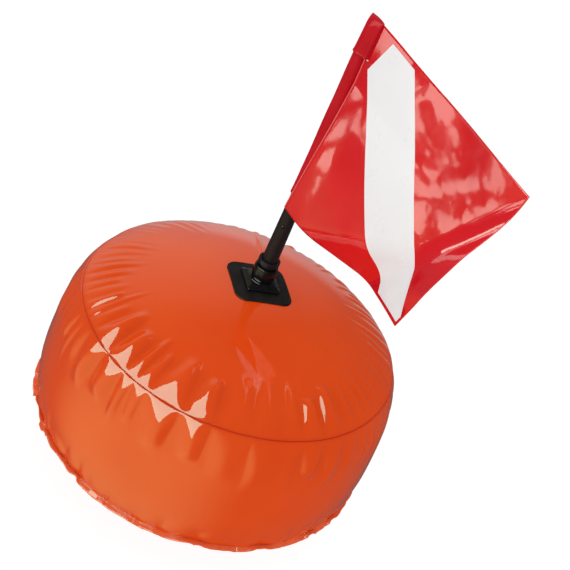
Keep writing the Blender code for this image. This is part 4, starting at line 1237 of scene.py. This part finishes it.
def fold(along, height, turn, offset, radius, angle):
    """Shift of a flat point where the sheet bends round a cylinder past a slanted line."""
    past = np.maximum(along * math.cos(turn) + height * math.sin(turn) - offset, 0.0)
    bent = np.minimum(past / radius, abs(angle))
    rest = past - radius * bent
    shortened = radius * np.sin(bent) + rest * np.cos(bent) - past
    outside = radius * (1 - np.cos(bent)) + rest * np.sin(bent)
    return shortened * math.cos(turn), shortened * math.sin(turn), outside * math.copysign(1, angle)


def flag_frame(along, front, height):
    """From the sheet's own directions to X, Y and Z."""
    cosine = math.cos(FLAG_DIRECTION)
    sine = math.sin(FLAG_DIRECTION)
    places = (along * cosine + front * sine, along * sine - front * cosine, height + FLAG_Z)
    return np.stack(np.broadcast_arrays(*places), axis=-1)


def flag_place(along, height):
    """Places of flat points of the flag, as the solid has them."""
    start = sheet_start(height)
    share = np.clip((along - start) / (FLAG_FLY - start), 0, 1)
    front = ridge_place(height)[1] * (1 - share) ** 2
    back = fold(along, height, *BACK_FOLD)
    wide = fold(along, height, *FRONT_FOLD)
    across = along + back[0] + wide[0]
    below = FLAG_HEIGHT - height - back[1] - wide[1]
    swung = across * math.cos(FLAG_SWING) - below * math.sin(FLAG_SWING)
    drop = below * math.cos(FLAG_SWING) + across * math.sin(FLAG_SWING)
    return flag_frame(swung, front + back[2] + wide[2], FLAG_HEIGHT - drop)


def flag_waves(along, height, seed):
    """Small buckles of the stiff vinyl, as heights off its own surface."""
    draw = np.random.default_rng(seed)
    total = 0
    for size, pitch, count in FLAG_WAVES:
        for _ in range(count):
            turn = draw.uniform(0, math.tau)
            phase = draw.uniform(0, math.tau, 2)
            reach = pitch * draw.uniform(0.7, 1.4)
            one = along * math.cos(turn) + height * math.sin(turn)
            two = height * math.cos(turn) - along * math.sin(turn)
            total = total + size * np.sin(reach * one + phase[0]) * np.cos(0.6 * reach * two + phase[1])
    return total / 1.8


def flag_surface(along, height):
    """Folded places of flat points, with the vinyl's own buckles on them."""
    step = 0.0005
    middle = flag_place(along, height)
    side = flag_place(along + step, height) - middle
    rise = flag_place(along, height + step) - middle
    hoist = smooth_step(along - sheet_start(height), *FLAG_WAVE_START)
    lift = flag_waves(along, height, SEED + 11) * hoist
    return middle + unit(np.cross(side, rise)) * lift[:, None]


def add_flag(red, white):
    """The sheet: a fine grid cut along the bar's edges, then folded, buckled and thickened."""
    levels = np.sort(np.append(FLAG_HEIGHT * spaced(FLAG_ROWS), (POCKET_MOUTH - POCKET_RAMP, POCKET_MOUTH)))
    height = np.repeat(levels[:, None], FLAG_COLUMNS + 1, axis=1)
    start = sheet_start(height)
    along = start + (FLAG_FLY - start) * spaced(FLAG_COLUMNS)
    data = grid_data("flag_vinyl", np.stack([along, height, np.zeros_like(along)], axis=-1), wrap=False)
    mesh = opened(data)
    across = Vector((-math.sin(BAR_TURN), math.cos(BAR_TURN), 0))
    centre = Vector((0, BAR_START_HEIGHT, 0))
    hoist = Vector((math.cos(BAR_HOIST_LEAN), math.sin(BAR_HOIST_LEAN), 0))
    hoist_place = Vector((*BAR_HOIST_PLACE, 0))
    planes = [(centre + across * side, across) for side in (-BAR_HALF_WIDTH, BAR_HALF_WIDTH)]
    for level in (BAR_BORDER, FLAG_HEIGHT - BAR_BORDER):
        planes.append((Vector((0, level, 0)), Vector((0, 1, 0))))
    planes += [(Vector((FLAG_FLY - BAR_BORDER, 0, 0)), Vector((1, 0, 0))), (hoist_place, hoist)]
    for place, direction in planes:
        geometry = mesh.verts[:] + mesh.edges[:] + mesh.faces[:]
        bmesh.ops.bisect_plane(mesh, geom=geometry, plane_co=place, plane_no=direction, dist=1e-7)
    for face in mesh.faces:
        middle = face.calc_center_median()
        in_width = abs((middle - centre).dot(across)) < BAR_HALF_WIDTH
        inside = BAR_BORDER < middle.y < FLAG_HEIGHT - BAR_BORDER and middle.x < FLAG_FLY - BAR_BORDER
        fly_side = (middle - hoist_place).dot(hoist) > 0
        face.material_index = int(in_width and inside and fly_side)
        face.smooth = True
    flat = np.array([vertex.co[:2] for vertex in mesh.verts])
    places = flag_surface(flat[:, 0], flat[:, 1])
    for vertex, place in zip(mesh.verts, places.tolist()):
        vertex.co = place
    keep(mesh, data)
    sheet = link(data, [red, white], FLAG_FILM)
    dress(sheet, "flag", "flag_red", "flag_sheet")
    return sheet


def add_sleeve(material):
    """Sleeve round the mast, creased along its length and flared a little at its foot."""
    turns = circle(96)
    rows = []
    for level in mix(SLEEVE_START_HEIGHT, POCKET_FOOT + POCKET_OVERLAP, spaced(90)):
        creases = SLEEVE_CREASE * np.sin(5 * turns + 90 * level)
        creases += SLEEVE_FINE_CREASE * np.sin(11 * turns - 30 * level)
        flare = SLEEVE_FLARE * math.exp(-(level - SLEEVE_START_HEIGHT) / SLEEVE_FLARE_REACH)
        room = smooth_step(angle_between(turns, ridge_angle(level)), 0.25, 0.8)
        radius = sleeve_inner(level) + FLAG_FILM / 2 + (creases + flare) * room
        rows.append(flag_frame(radius * np.cos(turns), radius * np.sin(turns), level))
    sleeve = link(grid_data("flag_sleeve_vinyl", rows), [material], FLAG_FILM)
    return dress(sleeve, "flag", "sleeve_red", "flag_sleeve")


def add_bead(material):
    """Welded ridge between the sleeve and the sheet, pressed into small even marks."""
    turns = circle(16)
    rows = []
    for share in spaced(260):
        level = (POCKET_FOOT - POCKET_RAMP) * share
        along, front = ridge_place(level)
        size = WELD_BEAD_RADIUS * (0.93 + 0.07 * math.cos(level / BEAD_MARK_PITCH))
        if share in (0, 1):
            size *= 0.5
        rows.append(flag_frame(along + size * np.cos(turns), front + size * np.sin(turns), level))
    data = grid_data("weld_ridge", rows)
    close_ends(data)
    return dress(link(data, [material]), "flag", "flag_red", "hoist_weld")


def add_pocket(material):
    """Pocket over the mast's tip: round behind, drawn out to the sheet, pinched flat at its top."""
    turns = circle(96)
    levels, reaches, backs, depths = (np.array(column) for column in zip(*POCKET_STATIONS))
    dent = POCKET_DENT * np.exp(-((np.cos(turns) - POCKET_DENT_PLACE) / POCKET_DENT_WIDTH) ** 2)
    rows = []
    for share in spaced(60):
        level = POCKET_HEIGHT * share
        reach = np.interp(level, levels, reaches)
        back = np.interp(level, levels, backs)
        depth = np.interp(level, levels, depths)
        above = max(0.0, (level - levels[1]) / (levels[2] - levels[1]))
        if above:
            depth = mix(depths[1], depths[2], 1 - math.sqrt(max(0.0, 1 - above ** 1.6)))
        lip = POCKET_LIP * math.exp(-level / POCKET_LIP_REACH) - FLAG_FILM / 2
        along = np.where(np.cos(turns) > 0, reach, back) + lip
        front = (depth + lip) * (1 - dent * (1 - above))
        rows.append(flag_frame(along * np.cos(turns), front * np.sin(turns), POCKET_FOOT + level))
    data = grid_data("pocket_vinyl", rows)
    mesh = opened(data)
    rim = [edge for edge in mesh.edges if edge.is_boundary and edge.verts[0].co.z > POCKET_Z + 0.03]
    bmesh.ops.edgeloop_fill(mesh, edges=rim)
    keep(mesh, data)
    data.shade_smooth()
    return dress(link(data, [material], FLAG_FILM), "flag", "sleeve_red", "flag_top_pocket")


# Valve, strap tab and ring


def add_valve(material):
    """Inflation valve: flanged stem through the band, and the plug that stops it."""
    place = valve_place()[2]
    tail = -GAP - FILM - VALVE_TAIL_LENGTH
    stem = (
        (VALVE_BORE_RADIUS, 0),
        (VALVE_BORE_RADIUS, tail),
        (VALVE_STEM_RADIUS, tail),
        (VALVE_STEM_RADIUS, 0),
        (VALVE_FLANGE_RADIUS, 0),
        (VALVE_FLANGE_RADIUS, VALVE_FLANGE_THICKNESS),
        (VALVE_STEM_RADIUS + 0.0004, VALVE_FLANGE_THICKNESS),
        (VALVE_STEM_RADIUS, VALVE_STEM_LENGTH),
        (VALVE_BORE_RADIUS, VALVE_STEM_LENGTH),
        (VALVE_BORE_RADIUS, 0),
    )
    body = lathe("valve_stem", fillet(stem, 0.0004)[:-1], 96, [material], place)
    dress(body, "float", "valve_vinyl", "valve_body")
    foot = VALVE_STEM_LENGTH + GAP
    top = foot + PLUG_HEAD_THICKNESS
    plug = (
        (0, foot - PLUG_PIN_LENGTH),
        (PLUG_PIN_RADIUS, foot - PLUG_PIN_LENGTH),
        (PLUG_PIN_RADIUS, foot),
        (PLUG_HEAD_RADIUS, foot),
        (PLUG_HEAD_RADIUS, top),
        (0.0040, top),
        (0.0036, top - 0.0005),
        (0, top - 0.0005),
    )
    stopper = lathe("valve_stopper", fillet(plug, 0.0004), 96, [material], place, closed=False)
    dress(stopper, "plug", "valve_vinyl", "valve_plug")


def add_tab(material):
    """Strap tab that clamps the fin and holds the ring, thinner at its selvedges."""
    throat = math.pi - math.asin(TAB_LEG / TAB_EYE)
    inner = FIN_RADIUS - TAB_GRIP - RING_CENTRE
    bend = inner * 0.5 - 0.0008
    angles = throat * (1 - 2 * spaced(40))
    path = [(inner, TAB_LEG), (bend, TAB_LEG)]
    path += zip(TAB_EYE * np.cos(angles), TAB_EYE * np.sin(angles))
    path += [(bend, -TAB_LEG), (inner, -TAB_LEG)]
    points = np.array(path)
    normal = profile_normals(*points.T)
    across = 2 * spaced(24) - 1
    thick = TAB_THICKNESS / 2 * np.minimum(1, (1 - np.abs(across)) * 30 + 0.35)
    sideways = np.concatenate([across, across[::-1]]) * TAB_WIDTH / 2
    lift = np.concatenate([thick, -thick[::-1]])
    section = points[:, None] + normal[:, None] * lift[None, :, None]
    rings = np.stack(np.broadcast_arrays(sideways, section[..., 0], section[..., 1]), axis=-1)
    data = grid_data("tab_webbing", rings)
    close_ends(data, TOW_PLACE)
    return dress(link(data, [material]), "float", "tab_strap", "tow_tab")


def add_ring(material):
    """Tow ring: round wire bent to a D."""
    flat = RING_HALF_WIDTH - RING_CORNER
    line = []
    for angle in math.pi / 2 * spaced(6):
        line.append((flat + RING_CORNER * math.sin(angle), RING_CORNER * math.cos(angle) - RING_CORNER))
    mirrored = [(-x, z) for x, z in reversed(line)]
    for angle in math.pi * spaced(40)[1:-1]:
        line.append((RING_HALF_WIDTH * math.cos(angle), -RING_DROP - RING_HALF_WIDTH * math.sin(angle)))
    line += mirrored
    line += [(mix(-flat, flat, share), 0.0) for share in spaced(12)[1:-1]]
    points = np.array(line)
    heading = unit(np.roll(points, -1, axis=0) - np.roll(points, 1, axis=0))
    turns = circle(20)
    side = RING_WIRE * np.cos(turns)
    rows = []
    for (x, z), (dx, dz) in zip(points, heading):
        rows.append(np.stack([x - dz * side, RING_WIRE * np.sin(turns), z + dx * side], axis=1))
    data = close_data("ring_wire", rows)
    data.transform(TOW_PLACE)
    return dress(link(data, [material]), "ring", "spring_steel", "tow_ring")


def repaint(materials):
    """Carried-over solids get the same finishes as the pieces beside them."""
    for node, material in materials.items():
        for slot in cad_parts[node].material_slots:
            slot.material = material


# Studio


def add_camera():
    """The photograph's own viewpoint, with its roll."""
    right = Vector((1, 0, 0))
    forward = Vector((0, math.cos(VIEW_DOWN), -math.sin(VIEW_DOWN)))
    up = right.cross(forward)
    rolled = right * math.cos(VIEW_ROLL) + up * math.sin(VIEW_ROLL)
    raised = up * math.cos(VIEW_ROLL) - right * math.sin(VIEW_ROLL)
    place = rolled * VIEW_RIGHT + raised * VIEW_UP - forward * VIEW_DISTANCE
    place.z += VIEW_ORIGIN_Z
    data = bpy.data.cameras.new("photo_camera")
    data.lens = VIEW_LENS
    data.sensor_width = VIEW_SENSOR
    camera = bpy.data.objects.new("photo_camera", data)
    turn = Matrix((rolled, raised, -forward)).transposed().to_4x4()
    camera.matrix_world = Matrix.Translation(place) @ turn
    bpy.context.scene.collection.objects.link(camera)
    bpy.context.scene.camera = camera


def add_card(name, place, target, width, height, radiance, colour=CARD_COLOUR, seen_in=(), unseen_in=()):
    """A card of even radiance that faces a target, mirrored by glossy pieces: by all, or by some only."""
    data = bpy.data.lights.new(name, "AREA")
    data.shape = "RECTANGLE"
    data.size = width
    data.size_y = height
    data.energy = radiance * math.pi * width * height
    data.color = colour
    card = bpy.data.objects.new(name, data)
    heading = Vector(place) - Vector(target)
    card.location = place
    card.rotation_euler = heading.to_track_quat("Z", "Y").to_euler()
    card.visible_diffuse = False
    card.visible_camera = False
    bpy.context.scene.collection.objects.link(card)
    receivers = bpy.data.collections.new(name + "_receivers")
    for item in (*seen_in, *unseen_in):
        receivers.objects.link(item)
    for entry in receivers.collection_objects:
        entry.light_linking.link_state = "EXCLUDE" if unseen_in else "INCLUDE"
    card.light_linking.receiver_collection = receivers


def add_floor():
    """Plain pale floor, out of the glossy film's reflections as a dark studio's floor would be."""
    data = bpy.data.meshes.new("studio_floor")
    half = 60.0
    corners = [(-half, -half, 0), (half, -half, 0), (half, half, 0), (-half, half, 0)]
    data.from_pydata(corners, [], [(0, 1, 2, 3)])
    made = new_material("pale_floor", (0.12, 0.12, 0.12), 0.9, Specular_IOR_Level=0.0,
                        Emission_Color=(1, 1, 1, 1), Emission_Strength=FLOOR_GLOW)
    drive(made, "Base Color", blend_colours(made, noise(made, 1.5), (0.11, 0.11, 0.11), (0.13, 0.13, 0.13)))
    floor = link(data, [made])
    floor.location.z = -0.0002
    floor.visible_glossy = False


def add_world():
    """Even soft light for the colours, and a dim surround with pale areas for the glossy films."""
    world = bpy.data.worlds.new("studio")
    world.use_nodes = True
    place = add_node(world, "ShaderNodeTexCoord").outputs["Generated"]
    mirrored = add_node(world, "ShaderNodeLightPath").outputs["Is Glossy Ray"]
    pale = add_areas(world, place, PALE_AREAS, PALE_LEVEL)
    warm = add_areas(world, place, WARM_AREAS, 0)
    even = add_areas(world, place, (((-1, 0, 0), 0, 180, LEFT_GAIN),), EVEN_LIGHT)
    channels = []
    for index, share in enumerate(WARM_COLOUR):
        seen = add_math(world, "ADD", pale, add_math(world, "MULTIPLY", warm, share))
        links = [("Value", mirrored), ("To Min", even), ("To Max", seen)]
        channels.append((index, add_node(world, "ShaderNodeMapRange", links).outputs["Result"]))
    colour = add_node(world, "ShaderNodeCombineXYZ", channels)
    ground = world.node_tree.nodes["Background"]
    world.node_tree.links.new(colour.outputs[0], ground.inputs["Color"])
    bpy.context.scene.world = world


def add_areas(world, place, areas, level):
    """Sum of an even level and round areas that fade from their inner to their outer angle."""
    total = level
    for direction, inner, outer, gain in areas:
        dot = add_node(world, "ShaderNodeVectorMath", [(0, place)], operation="DOT_PRODUCT")
        dot.inputs[1].default_value = Vector(direction).normalized()
        fade = add_node(world, "ShaderNodeMapRange", [("Value", dot.outputs["Value"])],
                        interpolation_type="SMOOTHSTEP", From_Min=math.cos(math.radians(outer)),
                        From_Max=math.cos(math.radians(inner)), To_Min=0, To_Max=gain)
        total = add_math(world, "ADD", fade.outputs["Result"], total)
    return total


def add_math(world, operation, source, other):
    """Sum or product of a source and another source or a number."""
    node = add_node(world, "ShaderNodeMath", [(0, source)], operation=operation)
    if isinstance(other, (int, float)):
        node.inputs[1].default_value = other
    else:
        world.node_tree.links.new(other, node.inputs[1])
    return node.outputs[0]


def add_studio(sheet, films):
    """Camera, floor, surround and cards. The films have a window of their own, with less red in it."""
    add_camera()
    add_floor()
    add_world()
    add_card("window_left", *WINDOW, WINDOW_LEVEL, unseen_in=films)
    add_card("window_left_films", *WINDOW, FILM_WINDOW_LEVEL, FILM_WINDOW_COLOUR, films)
    for number, (place, width, height) in enumerate(FLAG_CARDS):
        add_card("flag_card_%d" % number, place, FLAG_MIDDLE, width, height, FLAG_CARD_LEVEL,
                 seen_in=[sheet])
    bpy.context.scene.view_settings.view_transform = "Standard"


def main():
    """Dress the frame and light it."""
    socket = socket_material()
    tube = tube_material()
    red = flag_material("flag_vinyl_red", (0.60, 0.005, 0.012), (0.68, 0.008, 0.015))
    white = flag_material("flag_vinyl_white", (0.79, 0.79, 0.80), (0.82, 0.82, 0.82), 0.34, 0.0)
    sleeve = flag_material("sleeve_vinyl_red", (0.44, 0.0025, 0.010), (0.52, 0.004, 0.014), 0.24, 0.0, 0.10)
    clear = clear_material()
    steel = steel_material()
    rubber = rubber_material()

    film, films = add_float_films()
    add_patch(patch_material())
    weld_close(add_base(socket))
    add_nut(socket)
    add_collar(tube)
    place = add_mast(tube)
    add_button(place, socket)
    sheet = add_flag(red, white)
    add_sleeve(sleeve)
    # The weld ridge's paler pink is a painted highlight along its crest
    add_bead(flag_material("weld_vinyl_painted_highlight", (0.80, 0.10, 0.11), (0.72, 0.06, 0.08)))
    add_pocket(sleeve)
    add_valve(clear)
    add_tab(webbing_material())
    weld_close(add_ring(steel))
    repaint({"mast_plug": tube, "tip_cap": tube, "slip_washer": clear, "valve_tether": clear,
             "socket_seal": rubber, "button_spring": steel, "valve_flap": film})
    add_studio(sheet, films)


main()
